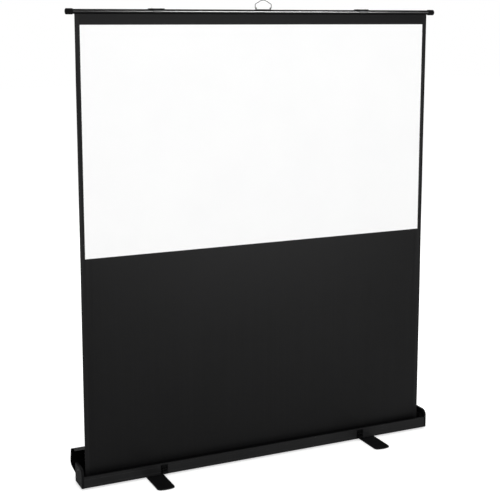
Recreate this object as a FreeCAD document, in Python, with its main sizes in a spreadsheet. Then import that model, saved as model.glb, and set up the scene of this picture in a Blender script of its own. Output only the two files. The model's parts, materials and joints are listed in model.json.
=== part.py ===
"""Portable floor-standing projection screen: a housing on swivel feet, a spring roller, two folding
arms behind the fabric, a top bar with a pull ring, and a hinged lid that stands open behind.

Origin: on the floor under the middle of the housing. +X runs along the housing to the viewer's
right, +Y points behind the screen and +Z up. Lengths are in millimetres.
"""
import FreeCAD, Part
import math
import os
import types

import Sketcher

# Every length that can be set by itself, in millimetres, and every angle in degrees.
SIZES = {
    # feet
    "pad_thickness": 2.0,
    "pad_length": 26.0,
    "pad_width": 62.0,
    "pad_inset": 16.0,
    "foot_thickness": 5.5,
    "foot_length": 420.0,
    "foot_width": 85.0,
    "foot_end_rise": 9.0,
    "foot_corner": 18.0,
    "foot_edge": 1.5,
    "foot_spread": 580.0,
    "foot_gap": 0.5,
    "bolt_radius": 4.0,
    "bolt_head_radius": 9.0,
    "bolt_head_height": 1.4,
    "nut_radius": 7.0,
    "nut_height": 6.5,
    # housing tray
    "base_depth": 104.0,
    "tray_wall": 2.0,
    "front_wall_height": 54.0,
    "back_wall_height": 32.0,
    "front_lip_width": 7.0,
    "front_lip_height": 8.0,
    "groove_depth": 0.7,
    "groove_half_width": 1.3,
    "tray_edge": 1.2,
    # end caps
    "cap_thickness": 12.0,
    "cap_height": 92.0,
    "cap_front_corner": 30.0,
    "cap_back_corner": 7.0,
    "cap_edge": 1.5,
    "cap_wall": 3.0,
    "screw_head_radius": 3.4,
    "screw_head_height": 1.8,
    "cap_screw_inset": 9.0,
    # lid
    "lid_thickness": 1.6,
    "lid_end_gap": 2.8,
    "lid_top_height": 135.0,
    "lid_top_depth": 80.0,
    "lid_slope_height": 90.0,
    "lid_overhang": 2.6,
    "lid_back_corner": 22.0,
    "lid_top_corner": 10.0,
    "lid_rib": 3.0,
    "lid_edge_gap": 1.0,
    "lid_open_angle": 79.0,
    # hinge bead of the tray and hook of the lid, both extruded
    "hinge_axis_height": 42.0,
    "hinge_axis_offset": 2.2,
    "hinge_bead_radius": 1.9,
    "hinge_fit": 0.1,
    "hinge_hook_wall": 1.4,
    "hinge_neck_drop": 2.4,
    # fabric
    "fabric_offset": 9.3,
    "fabric_thickness": 0.5,
    "picture_width": 1770.0,
    "picture_height": 1041.0,
    "side_border_width": 22.8,
    "top_border_width": 58.0,
    # spring roller
    "roller_axis_height": 36.0,
    "roller_tube_radius": 14.0,
    "roller_tube_wall": 1.5,
    "roller_overhang": 1.5,
    "roller_end_space": 17.5,
    "wrap_thickness": 0.8,
    "plug_length": 20.0,
    "journal_radius": 4.0,
    "mandrel_radius": 5.0,
    "mandrel_length": 205.0,
    "mandrel_square": 6.0,
    "anchor_radius": 11.0,
    "anchor_length": 12.0,
    "spring_radius": 9.2,
    "spring_wall": 1.8,
    "roller_bracket_thickness": 3.0,
    "roller_bracket_width": 36.0,
    "roller_bracket_height": 48.0,
    "roller_bracket_corner": 6.0,
    # folding arms
    "arm_length": 1290.0,
    "arm_pivot_offset": 530.0,
    "arm_height": 22.0,
    "arm_thickness": 8.0,
    "arm_groove_depth": 2.0,
    "arm_groove_width": 10.0,
    "arm_groove_end": 34.0,
    "arm_pivot_height": 30.0,
    "arm_gap": 1.0,
    "unit_gap": 4.0,
    "pin_radius": 4.0,
    "pin_head_radius": 7.0,
    "pin_head": 1.4,
    "arm_bracket_thickness": 3.0,
    "arm_bracket_width": 44.0,
    "arm_bracket_flange": 17.0,
    "arm_bracket_round": 12.0,
    "bracket_screw_inset": 8.0,
    # top bar
    "bar_height": 2171.0,
    "bar_radius": 11.2,
    "bar_wall": 1.6,
    "bar_overhang": 34.2,
    "bar_slot": 3.0,
    "hem_rod_radius": 2.2,
    "bar_cap_radius": 13.5,
    "bar_cap_length": 32.0,
    "bar_cap_floor": 6.0,
    "bar_cap_round": 4.0,
    "top_pivot_drop": 40.0,
    "clip_thickness": 3.0,
    "clip_width": 75.0,
    "clip_lip_width": 34.0,
    "clip_tongue_radius": 13.0,
    "clip_screw_spread": 22.0,
    # pull ring
    "ring_wire_radius": 1.6,
    "ring_half_width": 41.5,
    "ring_side_height": 19.0,
    "ring_height": 38.0,
    "ring_top_half_width": 12.0,
    "ring_crown": 2.0,
    "ring_bend": 3.0,
    "ring_pivot_rise": 16.6,
    "ring_pin_length": 8.0,
    "saddle_length": 76.0,
    "saddle_thickness": 1.5,
    "saddle_half_width": 7.0,
    "ear_thickness": 2.5,
    "ear_radius": 4.2,
    # draw latches
    "latch_spread": 535.0,
    "latch_plate_width": 36.0,
    "latch_plate_height": 42.0,
    "latch_plate_base": 13.0,
    "latch_plate": 1.2,
    "latch_pivot_height": 36.0,
    "latch_pivot_offset": 5.0,
    "latch_pin_radius": 1.5,
    "latch_block_half_width": 8.0,
    "latch_block_half_height": 2.8,
    "lever_half_width": 10.5,
    "lever_cheek": 2.0,
    "lever_eye_radius": 3.4,
    "lever_drop": 22.0,
    "lever_thickness": 1.8,
    "lever_curl": 5.0,
    "lever_web_drop": 7.0,
    "loop_wire_radius": 1.2,
    "loop_half_width": 12.6,
    "loop_height": 27.0,
    "loop_pivot_drop": 9.0,
    "loop_lean": 0.8,
    "loop_bend": 1.8,
    "keeper_width": 22.0,
    "keeper_thickness": 1.4,
    "keeper_reach": 12.0,
    "keeper_lip": 3.0,
    # running fits and small gaps
    "running_fit": 0.05,
    "slide_gap": 0.3,
    "pivot_gap": 0.6,
    "cut_overrun": 5.0,
}

# Angles and shares, which do not grow with the part.
RIB_PLACE_SHARES = (0.3, 0.7)
BEND_SHARES = (0, 1 / 3, 2 / 3, 1)
WIRE_SIDES = 12
HOOK_ANGLES = (-37.0, 188.0)
NECK_ANGLES = (232.0, 196.0)
GROOVE_HEIGHT_SHARES = (0.24, 0.76)
LEVER_TIP_SHARE = 0.8
SADDLE_COVER_ANGLE = 38.0
CLIP_COVER_ANGLE = 40.0
CLIP_LIP_ANGLE = 130.0

doc = FreeCAD.newDocument("projection_screen")


class Size(float):
    """A number that remembers the sheet expression that it was worked out from."""

    def __new__(cls, value, text):
        number = float.__new__(cls, value)
        number.text = text
        return number

    def __add__(self, other):
        return Size(float(self) + float(other), f"({self.text} + {words(other)})")

    def __radd__(self, other):
        return Size(float(other) + float(self), f"({words(other)} + {self.text})")

    def __sub__(self, other):
        return Size(float(self) - float(other), f"({self.text} - {words(other)})")

    def __rsub__(self, other):
        return Size(float(other) - float(self), f"({words(other)} - {self.text})")

    def __mul__(self, other):
        return Size(float(self) * float(other), f"({self.text} * {words(other)})")

    def __rmul__(self, other):
        return Size(float(other) * float(self), f"({words(other)} * {self.text})")

    def __truediv__(self, other):
        return Size(float(self) / float(other), f"({self.text} / {words(other)})")

    def __neg__(self):
        return Size(-float(self), f"(-{self.text})")


def words(value):
    """The value as it is written in a sheet expression."""
    return value.text if isinstance(value, Size) else repr(float(value))


def root(value):
    """The square root of a size or share."""
    return Size(math.sqrt(float(value)), f"sqrt({words(value)})")


def arcsine(value):
    """The angle, in degrees, whose sine is the given share."""
    return Size(math.degrees(math.asin(float(value))), f"(asin({words(value)}) / (1 deg))")


def cosine(angle):
    return Size(math.cos(math.radians(float(angle))), f"cos({words(angle)} * 1 deg)")


def sine(angle):
    return Size(math.sin(math.radians(float(angle))), f"sin({words(angle)} * 1 deg)")


def fill_sheet():
    """Writes the sizes to the spreadsheet and gives them back by name."""
    sheet = doc.addObject("Spreadsheet::Sheet", "Sizes")
    for row, (name, value) in enumerate(SIZES.items(), start=1):
        sheet.set(f"A{row}", name)
        sheet.set(f"B{row}", str(value))
        sheet.setAlias(f"B{row}", name)
    doc.recompute()
    return types.SimpleNamespace(
        **{name: Size(sheet.get(name), f"Sizes.{name}") for name in SIZES}
    )


size = fill_sheet()

# Places that several pieces share.
fabric_width = size.picture_width + size.side_border_width * 2
picture_top = size.bar_height - size.top_border_width
picture_base = picture_top - size.picture_height
bar_length = fabric_width + size.bar_overhang * 2
base_bottom = size.pad_thickness + size.foot_thickness + size.foot_gap
half_depth = size.base_depth / 2
floor_top = base_bottom + size.tray_wall
front_wall_top = base_bottom + size.front_wall_height
back_wall_top = base_bottom + size.back_wall_height
cap_top = base_bottom + size.cap_height
roller_end = fabric_width / 2 + size.roller_overhang
half_tray = roller_end + size.roller_end_space
half_base = half_tray + size.cap_thickness
fabric_y = -size.fabric_offset
fabric_front = fabric_y - size.fabric_thickness / 2
wrap_radius = size.roller_tube_radius + size.wrap_thickness
roller_y = fabric_front - size.slide_gap - wrap_radius
roller_bore = size.roller_tube_radius - size.roller_tube_wall
bracket_x = half_tray - size.roller_bracket_thickness / 2
hinge_y = half_depth + size.hinge_axis_offset
half_lid = half_base - size.lid_end_gap
top_pivot = size.bar_height - size.top_pivot_drop
arm_rise_share = (top_pivot - size.arm_pivot_height) / (size.arm_length * 2)
arm_reach_share = root(1 - arm_rise_share * arm_rise_share)
arm_angle = arcsine(arm_rise_share)
elbow_height = (top_pivot + size.arm_pivot_height) / 2
elbow_x = size.arm_length * arm_reach_share - size.arm_pivot_offset
clip_back = fabric_y + size.bar_radius + size.slide_gap + size.clip_thickness
layer_step = size.arm_thickness + size.arm_gap
first_layer = clip_back + size.pivot_gap
second_layer = first_layer + layer_step
third_layer = second_layer + size.arm_thickness + size.unit_gap
fourth_layer = third_layer + layer_step
latch_wall = -half_depth
latch_pivot_y = latch_wall - size.latch_plate - size.latch_pivot_offset + size.latch_plate


def point(across, up, out=0.0):
    return FreeCAD.Vector(float(across), float(up), float(out))


def bind(thing, name, value):
    """Ties one property to the sheet, or sets it where the value is a plain number."""
    if isinstance(value, Size):
        thing.setExpression(name, value.text)
    elif "." not in name:
        setattr(thing, name, float(value))


def place(thing, x=0.0, y=0.0, z=0.0, axis=None, angle=0.0):
    """Puts a piece at its place, with its position and turn tied to the sheet."""
    turn = FreeCAD.Rotation(axis, float(angle)) if axis else FreeCAD.Rotation()
    thing.Placement = FreeCAD.Placement(point(x, y, z), turn)
    for name, value in (("x", x), ("y", y), ("z", z)):
        bind(thing, f"Placement.Base.{name}", value)
    if isinstance(angle, Size):
        thing.setExpression("Placement.Rotation.Angle", angle.text)
    return thing


BEVEL = "PartDesign::Chamfer"
X_AXIS = FreeCAD.Vector(1, 0, 0)
Y_AXIS = FreeCAD.Vector(0, 1, 0)
TO_X = (Y_AXIS, 90)
TO_Y = (X_AXIS, -90)


def new_body(label):
    body = doc.addObject("PartDesign::Body", label)
    body.Label = label
    return body


def new_sketch(body, role):
    """A sketch on one of the body's own origin planes."""
    sketch = body.newObject("Sketcher::SketchObject", body.Name + "_sketch")
    plane = [item for item in body.Origin.OriginFeatures if item.Role == role][0]
    sketch.AttachmentSupport = [(plane, "")]
    sketch.MapMode = "FlatFace"
    return sketch


def tie(sketch, kind, geometry, end, value):
    """Ties one coordinate of a sketch point to the sheet."""
    place_index = sketch.addConstraint(
        Sketcher.Constraint(kind, -1, 1, geometry, end, float(value))
    )
    if isinstance(value, Size):
        sketch.setExpression(f"Constraints[{place_index}]", value.text)


def tie_radius(sketch, geometry, value):
    place_index = sketch.addConstraint(Sketcher.Constraint("Radius", geometry, float(value)))
    if isinstance(value, Size):
        sketch.setExpression(f"Constraints[{place_index}]", value.text)


def tie_arc(sketch, index, start, corner):
    """Ties an arc's radius, or its centre where the arc is a half circle."""
    chord = point(*start[:2]).distanceToPoint(point(*corner[:2]))
    if chord < float(corner[2]) * 1.999:
        tie_radius(sketch, index, corner[2])
    elif abs(float(start[0]) - float(corner[0])) < abs(float(start[1]) - float(corner[1])):
        tie(sketch, "DistanceX", index, 3, corner[0])
    else:
        tie(sketch, "DistanceY", index, 3, corner[1])


def outline(sketch, corners):
    """Draws a closed outline. A corner is (across, up), or (across, up, radius, bulge) where an arc
    of that radius, bulging towards the given point, leads to it."""
    ends = []
    for number, corner in enumerate(corners):
        start = point(*corners[number - 1][:2])
        finish = point(*corner[:2])
        if len(corner) == 2:
            index = sketch.addGeometry(Part.LineSegment(start, finish), False)
        else:
            index = sketch.addGeometry(Part.Arc(start, point(*corner[3]), finish), False)
        at_start = sketch.getPoint(index, 1).distanceToPoint(start)
        at_end = sketch.getPoint(index, 2).distanceToPoint(start)
        ends.append((index, 1, 2) if at_start <= at_end else (index, 2, 1))
    for number, (index, begin, end) in enumerate(ends):
        following, next_begin, _ = ends[(number + 1) % len(ends)]
        sketch.addConstraint(Sketcher.Constraint("Coincident", index, end, following, next_begin))
        tie(sketch, "DistanceX", index, end, corners[number][0])
        tie(sketch, "DistanceY", index, end, corners[number][1])
        if len(corners[number]) > 2:
            tie_arc(sketch, index, corners[number - 1], corners[number])


def ring(sketch, across, up, radius):
    """Draws a full circle."""
    circle = Part.Circle(point(across, up), FreeCAD.Vector(0, 0, 1), float(radius))
    index = sketch.addGeometry(circle, False)
    tie(sketch, "DistanceX", index, 3, across)
    tie(sketch, "DistanceY", index, 3, up)
    tie_radius(sketch, index, radius)


def pad(body, sketch, length, centred=True, reverse=False):
    feature = body.newObject("PartDesign::Pad", body.Name + "_pad")
    feature.Profile = sketch
    bind(feature, "Length", length)
    feature.SideType = "Symmetric" if centred else "One side"
    feature.Reversed = reverse
    doc.recompute()
    return feature


def pocket(body, sketch, length=None, centred=True, reverse=False):
    """Cuts the sketch out of the body, all the way through if no length is given."""
    before = body.Shape.Volume
    feature = body.newObject("PartDesign::Pocket", body.Name + "_pocket")
    feature.Profile = sketch
    if length is None:
        feature.Type = "ThroughAll"
        feature.SideType = "Symmetric"
    else:
        bind(feature, "Length", length)
        feature.SideType = "Symmetric" if centred else "One side"
        feature.Reversed = reverse
    doc.recompute()
    if not body.Shape.Volume < before:
        raise RuntimeError(f"{feature.Name} cuts nothing")
    return feature


def round_edges(body, radius, middles, kind="PartDesign::Fillet"):
    """Rounds or bevels the edges whose middles lie nearest the given points of the body's frame."""
    base = body.Tip
    names = []
    for middle in middles:
        target = point(*middle)
        gaps = [edge.CenterOfMass.distanceToPoint(target) for edge in base.Shape.Edges]
        names.append(f"Edge{gaps.index(min(gaps)) + 1}")
    feature = body.newObject(kind, body.Name + "_edge")
    feature.Base = (base, sorted(set(names)))
    bind(feature, "Radius" if kind.endswith("Fillet") else "Size", radius)
    doc.recompute()
    return feature


def face_edges(body, radius, normal_axis, offset, kind="PartDesign::Fillet"):
    """Rounds every edge that lies in one plane, given by its axis (0, 1 or 2) and offset."""
    base = body.Tip
    limit = float(radius) * 0.01
    names = []
    for number, edge in enumerate(base.Shape.Edges, start=1):
        box = edge.BoundBox
        low = (box.XMin, box.YMin, box.ZMin)[normal_axis]
        high = (box.XMax, box.YMax, box.ZMax)[normal_axis]
        if abs(low - float(offset)) < limit and abs(high - float(offset)) < limit:
            names.append(f"Edge{number}")
    feature = body.newObject(kind, body.Name + "_edge")
    feature.Base = (base, names)
    bind(feature, "Radius" if kind.endswith("Fillet") else "Size", radius)
    doc.recompute()
    return feature


def rod(name, radius, length, x=0.0, y=0.0, z=0.0, turn=None):
    """A round bar from the given place along +Z, or along the axis of the turn."""
    made = doc.addObject("Part::Cylinder", name)
    bind(made, "Radius", radius)
    bind(made, "Height", length)
    axis, angle = turn or (None, 0.0)
    return place(made, x, y, z, axis, angle)


def joined(name, members):
    made = doc.addObject("Part::MultiFuse", name)
    made.Shapes = members
    return made


def cut(name, base, tool):
    made = doc.addObject("Part::Cut", name)
    made.Base = base
    made.Tool = tool
    return made


def group(label, members):
    """Separate solids that share one node."""
    made = doc.addObject("Part::Compound", label)
    made.Label = label
    made.Links = members
    return made


def labelled(thing, label):
    thing.Label = label
    return thing


def bored(name, outer_radius, bore_radius, length, x, y, z, turn):
    """A round tube."""
    solid = rod(name + "_outside", outer_radius, length, x, y, z, turn)
    bore = rod(name + "_bore", bore_radius, length, x, y, z, turn)
    return cut(name, solid, bore)


def wire_piece(name, corners, bend, wire_radius):
    """A bent wire through the corners, each rounded by a few short runs within a bend's length."""
    path = [FreeCAD.Vector(*[float(part) for part in corner]) for corner in corners]
    places = [path[0]]
    for before, here, after in zip(path, path[1:], path[2:]):
        start = here + (before - here).normalize() * float(bend)
        end = here + (after - here).normalize() * float(bend)
        for share in BEND_SHARES:
            first, last = 1 - share, share
            places.append(start * first ** 2 + here * (2 * first * last) + end * last ** 2)
    places.append(path[-1])
    spine = Part.makePolygon(places)
    start, along = path[0], path[1] - path[0]
    spoke = along.cross(FreeCAD.Vector(0, 1, 0)).normalize() * float(wire_radius)
    section = []
    for step in range(WIRE_SIDES):
        turn = FreeCAD.Rotation(along, 360 * step / WIRE_SIDES)
        section.append(start + turn.multVec(spoke))
    shell = Part.BRepOffsetAPI.MakePipeShell(spine)
    shell.setTransitionMode(1)
    shell.add(Part.makePolygon(section + section[:1]))
    shell.build()
    shell.makeSolid()
    made = doc.addObject("Part::Feature", name)
    made.Shape = shell.shape()
    made.Label = name
    return made


# Housing tray and end caps.


def turned(radius, angle, across=0.0, up=0.0):
    """A point at an angle, in degrees, on a circle about the given place."""
    share = Size(angle, repr(angle))
    return across + radius * cosine(share), up + radius * sine(share)


def make_tray():
    """An extruded open channel with a boxed front lip and the hinge bead along its back wall."""
    wall, bead = size.tray_wall, size.hinge_bead_radius
    inside = half_depth - wall
    lip_bottom = front_wall_top - size.front_lip_height
    neck_low = turned(bead, NECK_ANGLES[0], hinge_y, size.hinge_axis_height)
    neck_high = turned(bead, NECK_ANGLES[1], hinge_y, size.hinge_axis_height)
    far_side = (hinge_y + bead * math.sqrt(0.5), size.hinge_axis_height + bead * math.sqrt(0.5))
    grooves = []
    for share in reversed(GROOVE_HEIGHT_SHARES):
        middle = base_bottom + size.front_wall_height * share
        grooves += [
            (-half_depth, middle + size.groove_half_width),
            (-half_depth + size.groove_depth, middle),
            (-half_depth, middle - size.groove_half_width),
        ]
    body = new_body("base_tray")
    sketch = new_sketch(body, "YZ_Plane")
    outline(sketch, [
        (-half_depth, base_bottom),
        (half_depth, base_bottom),
        (half_depth, size.hinge_axis_height - size.hinge_neck_drop),
        neck_low,
        (*neck_high, bead, far_side),
        (inside, size.hinge_axis_height - size.hinge_neck_drop + wall / 2),
        (inside, floor_top),
        (-inside, floor_top),
        (-inside, lip_bottom),
        (-inside + size.front_lip_width, lip_bottom),
        (-inside + size.front_lip_width, front_wall_top),
        (-half_depth, front_wall_top),
    ] + grooves)
    body.Tip = pad(body, sketch, half_tray * 2)
    holes = new_sketch(body, "XY_Plane")
    for side in (-1, 1):
        ring(holes, size.foot_spread * side, 0.0, size.bolt_radius + size.running_fit)
    body.Tip = pocket(body, holes, floor_top + size.cut_overrun, centred=False, reverse=True)
    body.Tip = round_edges(body, size.tray_edge, [
        (0, -half_depth, base_bottom), (0, half_depth, base_bottom), (0, -half_depth, front_wall_top),
    ], BEVEL)
    return body


def screw_places():
    """Where the end cap screws stand, in the tray's section."""
    side = half_depth - size.cap_screw_inset
    return [
        (-side, base_bottom + size.cap_screw_inset),
        (side, base_bottom + size.cap_screw_inset),
        (0.0, cap_top - size.cap_screw_inset * 2),
    ]


def make_end_cap(label, side):
    """A moulded end cap, hollow from inside above the tray's walls."""
    body = new_body(label)
    sketch = new_sketch(body, "YZ_Plane")
    outline(sketch, [
        (-half_depth, base_bottom), (half_depth, base_bottom),
        (half_depth, cap_top), (-half_depth, cap_top),
    ])
    body.Tip = pad(body, sketch, size.cap_thickness)
    body.Tip = round_edges(body, size.cap_front_corner, [(0, -half_depth, cap_top)])
    body.Tip = round_edges(body, size.cap_back_corner, [(0, half_depth, cap_top)])
    body.Tip = face_edges(body, size.cap_edge, 0, size.cap_thickness / 2 * side, BEVEL)
    hollow = new_sketch(body, "YZ_Plane")
    front, back = size.cap_wall - half_depth, half_depth - size.cap_back_corner
    low, high = front_wall_top + size.cap_wall, cap_top - size.cap_wall
    bend = size.cap_front_corner - size.cap_wall
    short = bend * (1.0 - math.sqrt(0.5))
    outline(hollow, [
        (front, low), (back, low), (back, high), (front + bend, high),
        (front, high - bend, bend, (front + short, high - short)),
    ])
    inner_face = size.cap_thickness / 2
    hollow.AttachmentOffset = FreeCAD.Placement(
        point(0, 0, -inner_face * side), FreeCAD.Rotation()
    )
    hollow.setExpression("AttachmentOffset.Base.z", (-inner_face * side).text)
    body.Tip = pocket(
        body, hollow, size.cap_thickness - size.cap_wall, centred=False, reverse=side > 0
    )
    return place(body, x=(half_tray + size.cap_thickness / 2) * side)


def screw_head(name, x, y, z, turn=None):
    """A low six-sided screw head. Its foot stands at the given place."""
    head = doc.addObject("Part::Prism", name)
    head.Polygon = 6
    bind(head, "Circumradius", size.screw_head_radius)
    bind(head, "Height", size.screw_head_height)
    axis, angle = turn or (None, 0.0)
    return place(head, x, y, z, axis, angle)


def make_cap_screws():
    heads = []
    for side, word in ((-1, "left"), (1, "right")):
        start = half_base if side > 0 else -half_base - size.screw_head_height
        for number, (across, up) in enumerate(screw_places()):
            heads.append(screw_head(f"cap_screw_{word}_{number}", start, across, up, TO_X))
    return group("end_cap_screws", heads)


# Lid.


def closed_lid_outline(inset):
    """The lid's section as it is when shut, about the hinge axis, drawn in by the inset."""
    back = size.lid_overhang - size.hinge_axis_offset - inset
    top = size.lid_top_height - size.hinge_axis_height - inset
    front = -hinge_y - half_depth - size.lid_overhang + inset
    slope = size.lid_slope_height - size.hinge_axis_height
    crest = size.lid_overhang - size.hinge_axis_offset - size.lid_top_depth + inset / 2
    hook = size.hinge_bead_radius + size.hinge_fit + size.hinge_hook_wall
    return [
        (back, root(hook * hook - back * back)),
        (back, top),
        (crest, top),
        (front, slope),
        (front, front_wall_top + size.lid_edge_gap - size.hinge_axis_height),
    ]


def make_lid_shell():
    """An extruded cover with an open front, two inner ribs and the hook that grips the bead."""
    outer = closed_lid_outline(size.slide_gap * 0)
    inner = closed_lid_outline(size.lid_thickness)
    bore = size.hinge_bead_radius + size.hinge_fit
    hook = bore + size.hinge_hook_wall
    rib = size.lid_rib
    rib_places = []
    for share in RIB_PLACE_SHARES:
        across = inner[1][0] + (inner[2][0] - inner[1][0]) * share
        rib_places += [
            (across + rib / 4, inner[1][1]), (across + rib / 4, inner[1][1] - rib),
            (across - rib / 4, inner[1][1] - rib), (across - rib / 4, inner[1][1]),
        ]
    body = new_body("lid_shell")
    sketch = new_sketch(body, "YZ_Plane")
    outline(sketch, [
        *outer, *inner[:2:-1], inner[2], *rib_places[::-1], inner[1], inner[0],
        (*turned(hook, HOOK_ANGLES[1]), hook, turned(hook, sum(HOOK_ANGLES) / 2 + 70)),
        turned(bore, HOOK_ANGLES[1]),
        (*turned(bore, HOOK_ANGLES[0]), bore, turned(bore, sum(HOOK_ANGLES) / 2)),
        turned(hook, HOOK_ANGLES[0]),
        (*outer[0], hook, turned(hook, 0.0)),
    ][1:])
    body.Tip = pad(body, sketch, half_lid * 2)
    body.Tip = round_edges(body, size.lid_back_corner, [(0, *outer[1])])
    body.Tip = round_edges(body, size.lid_back_corner - size.lid_thickness, [(0, *inner[1])])
    body.Tip = round_edges(body, size.lid_top_corner, [(0, *outer[2])])
    body.Tip = round_edges(body, size.lid_top_corner - size.lid_thickness, [(0, *inner[2])])
    for way in (-1, 1):
        notch = new_sketch(body, "XZ_Plane")
        start, end = (half_tray - size.slide_gap) * way, (half_lid + size.cut_overrun) * way
        outline(notch, [(start, -hook * 2), (end, -hook * 2), (end, hook * 2), (start, hook * 2)])
        body.Tip = pocket(body, notch)
    return open_lid(body)


def open_lid(thing, x=0.0):
    """Places a piece that is drawn on the shut lid so that it stands open."""
    return place(thing, x, hinge_y, size.hinge_axis_height, X_AXIS, -size.lid_open_angle)


def make_keepers():
    """The hooks on the lid's front edge that the latch loops pull down."""
    keepers = []
    front = -hinge_y - half_depth - size.lid_overhang
    low = front_wall_top - size.keeper_reach - size.hinge_axis_height
    high = size.lid_slope_height - size.hinge_axis_height
    thick = size.keeper_thickness
    for side in (-1, 1):
        body = new_body(f"keeper_{'left' if side < 0 else 'right'}")
        sketch = new_sketch(body, "YZ_Plane")
        outline(sketch, [
            (front, low), (front, high), (front - thick, high),
            (front - thick, low + thick), (front - size.keeper_lip, low + thick * 2),
            (front - size.keeper_lip - thick, low + thick), (front - thick, low),
        ])
        body.Tip = pad(body, sketch, size.keeper_width)
        keepers.append(open_lid(body, size.latch_spread * side))
    return group("latch_keepers", keepers)


# Feet.


def make_foot(label, side):
    """A flat foot with bowed ends, on the swivel bolt at its middle."""
    half_width, half_length = size.foot_width / 2, size.foot_length / 2
    shoulder = half_length - size.foot_end_rise
    bow = (half_width * half_width + size.foot_end_rise * size.foot_end_rise) / (
        size.foot_end_rise * 2
    )
    body = new_body(label)
    sketch = new_sketch(body, "XY_Plane")
    outline(sketch, [
        (-half_width, -shoulder),
        (half_width, -shoulder, bow, (0.0, -half_length)),
        (half_width, shoulder),
        (-half_width, shoulder, bow, (0.0, half_length)),
    ])
    body.Tip = pad(body, sketch, size.foot_thickness)
    body.Tip = round_edges(body, size.foot_corner, [
        (half_width * a, shoulder * b, 0) for a in (-1, 1) for b in (-1, 1)
    ])
    body.Tip = face_edges(body, size.foot_edge, 2, size.foot_thickness / 2, BEVEL)
    hole = new_sketch(body, "XY_Plane")
    ring(hole, 0.0, 0.0, size.bolt_radius + size.running_fit)
    body.Tip = pocket(body, hole)
    return place(
        body, x=size.foot_spread * side, z=size.pad_thickness + size.foot_thickness / 2
    )


def make_foot_pads(label, side):
    """A rubber strip under each end of one foot."""
    pads = []
    middle = size.foot_length / 2 - size.pad_inset - size.pad_length / 2
    for way in (-1, 1):
        pad_box = doc.addObject("Part::Box", f"{label}_{'front' if way < 0 else 'back'}")
        bind(pad_box, "Length", size.pad_width)
        bind(pad_box, "Width", size.pad_length)
        bind(pad_box, "Height", size.pad_thickness)
        pads.append(place(
            pad_box, size.foot_spread * side - size.pad_width / 2,
            middle * way - size.pad_length / 2, 0.0,
        ))
    return group(label, pads)


def make_foot_bolts():
    """Bolts that carry the feet, each with a low head below and a nut on the tray's floor."""
    bolts, nuts = [], []
    for side, word in ((-1, "left"), (1, "right")):
        x = size.foot_spread * side
        shank = rod(
            f"foot_bolt_shank_{word}", size.bolt_radius, floor_top - size.pad_thickness,
            x, 0.0, size.pad_thickness,
        )
        head = hexagon(
            f"foot_bolt_head_{word}", size.bolt_head_radius, size.bolt_head_height,
            x, size.pad_thickness - size.bolt_head_height,
        )
        bolts.append(joined(f"foot_bolt_{word}", [shank, head]))
        nuts.append(hexagon(f"foot_nut_{word}", size.nut_radius, size.nut_height, x, floor_top))
    return group("foot_pivot_bolts", bolts), group("foot_lock_nuts", nuts)


def hexagon(name, radius, height, x, z):
    made = doc.addObject("Part::Prism", name)
    made.Polygon = 6
    bind(made, "Circumradius", radius)
    bind(made, "Height", height)
    return place(made, x, 0.0, z)


# Spring roller.


def make_roller_bracket(label, side):
    """A plate on the end cap's inner face that carries one end of the roller."""
    half_width, half_height = size.roller_bracket_width / 2, size.roller_bracket_height / 2
    body = new_body(label)
    sketch = new_sketch(body, "YZ_Plane")
    outline(sketch, [
        (-half_width, -half_height), (half_width, -half_height),
        (half_width, half_height), (-half_width, half_height),
    ])
    if side > 0:
        ring(sketch, 0.0, 0.0, size.journal_radius + size.running_fit)
    else:
        square = size.mandrel_square / 2 + size.running_fit
        outline(sketch, [(-square, -square), (square, -square), (square, square), (-square, square)])
    body.Tip = pad(body, sketch, size.roller_bracket_thickness)
    body.Tip = round_edges(body, size.roller_bracket_corner, [
        (0, half_width * a, half_height * b) for a in (-1, 1) for b in (-1, 1)
    ])
    return place(body, bracket_x * side, roller_y, size.roller_axis_height)


def make_roller():
    """The tube that the fabric winds on, its wraps, and the plugs in its two ends."""
    tube = bored(
        "roller_tube", size.roller_tube_radius, roller_bore, roller_end * 2,
        -roller_end, roller_y, size.roller_axis_height, TO_X,
    )
    half_fabric = fabric_width / 2
    wraps = bored(
        "fabric_wraps", wrap_radius, size.roller_tube_radius, half_fabric * 2,
        -half_fabric, roller_y, size.roller_axis_height, TO_X,
    )
    left_plug = bored(
        "left_roller_plug", roller_bore, size.mandrel_radius + size.running_fit, size.plug_length,
        -roller_end, roller_y, size.roller_axis_height, TO_X,
    )
    stem = rod(
        "right_plug_stem", roller_bore, size.plug_length,
        roller_end - size.plug_length, roller_y, size.roller_axis_height, TO_X,
    )
    journal = rod(
        "right_plug_journal", size.journal_radius, size.roller_end_space - size.slide_gap,
        roller_end, roller_y, size.roller_axis_height, TO_X,
    )
    right_plug = joined("right_roller_plug", [stem, journal])
    return [tube, wraps, group("roller_plugs", [left_plug, right_plug])]


def make_mandrel():
    """The fixed shaft inside the roller's left end, with the spring's anchor on its tip."""
    start = -half_tray + size.roller_bracket_thickness
    shaft = rod(
        "mandrel_shaft", size.mandrel_radius, size.mandrel_length,
        start, roller_y, size.roller_axis_height, TO_X,
    )
    anchor = doc.addObject("Part::Prism", "mandrel_anchor")
    anchor.Polygon = 6
    bind(anchor, "Circumradius", size.anchor_radius)
    bind(anchor, "Height", size.anchor_length)
    place(anchor, start + size.mandrel_length, roller_y, size.roller_axis_height, *TO_X)
    blade = doc.addObject("Part::Box", "mandrel_blade")
    bind(blade, "Length", size.roller_bracket_thickness)
    bind(blade, "Width", size.mandrel_square)
    bind(blade, "Height", size.mandrel_square)
    place(
        blade, -half_tray, roller_y - size.mandrel_square / 2,
        size.roller_axis_height - size.mandrel_square / 2,
    )
    return joined("spring_mandrel", [shaft, anchor, blade])


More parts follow.
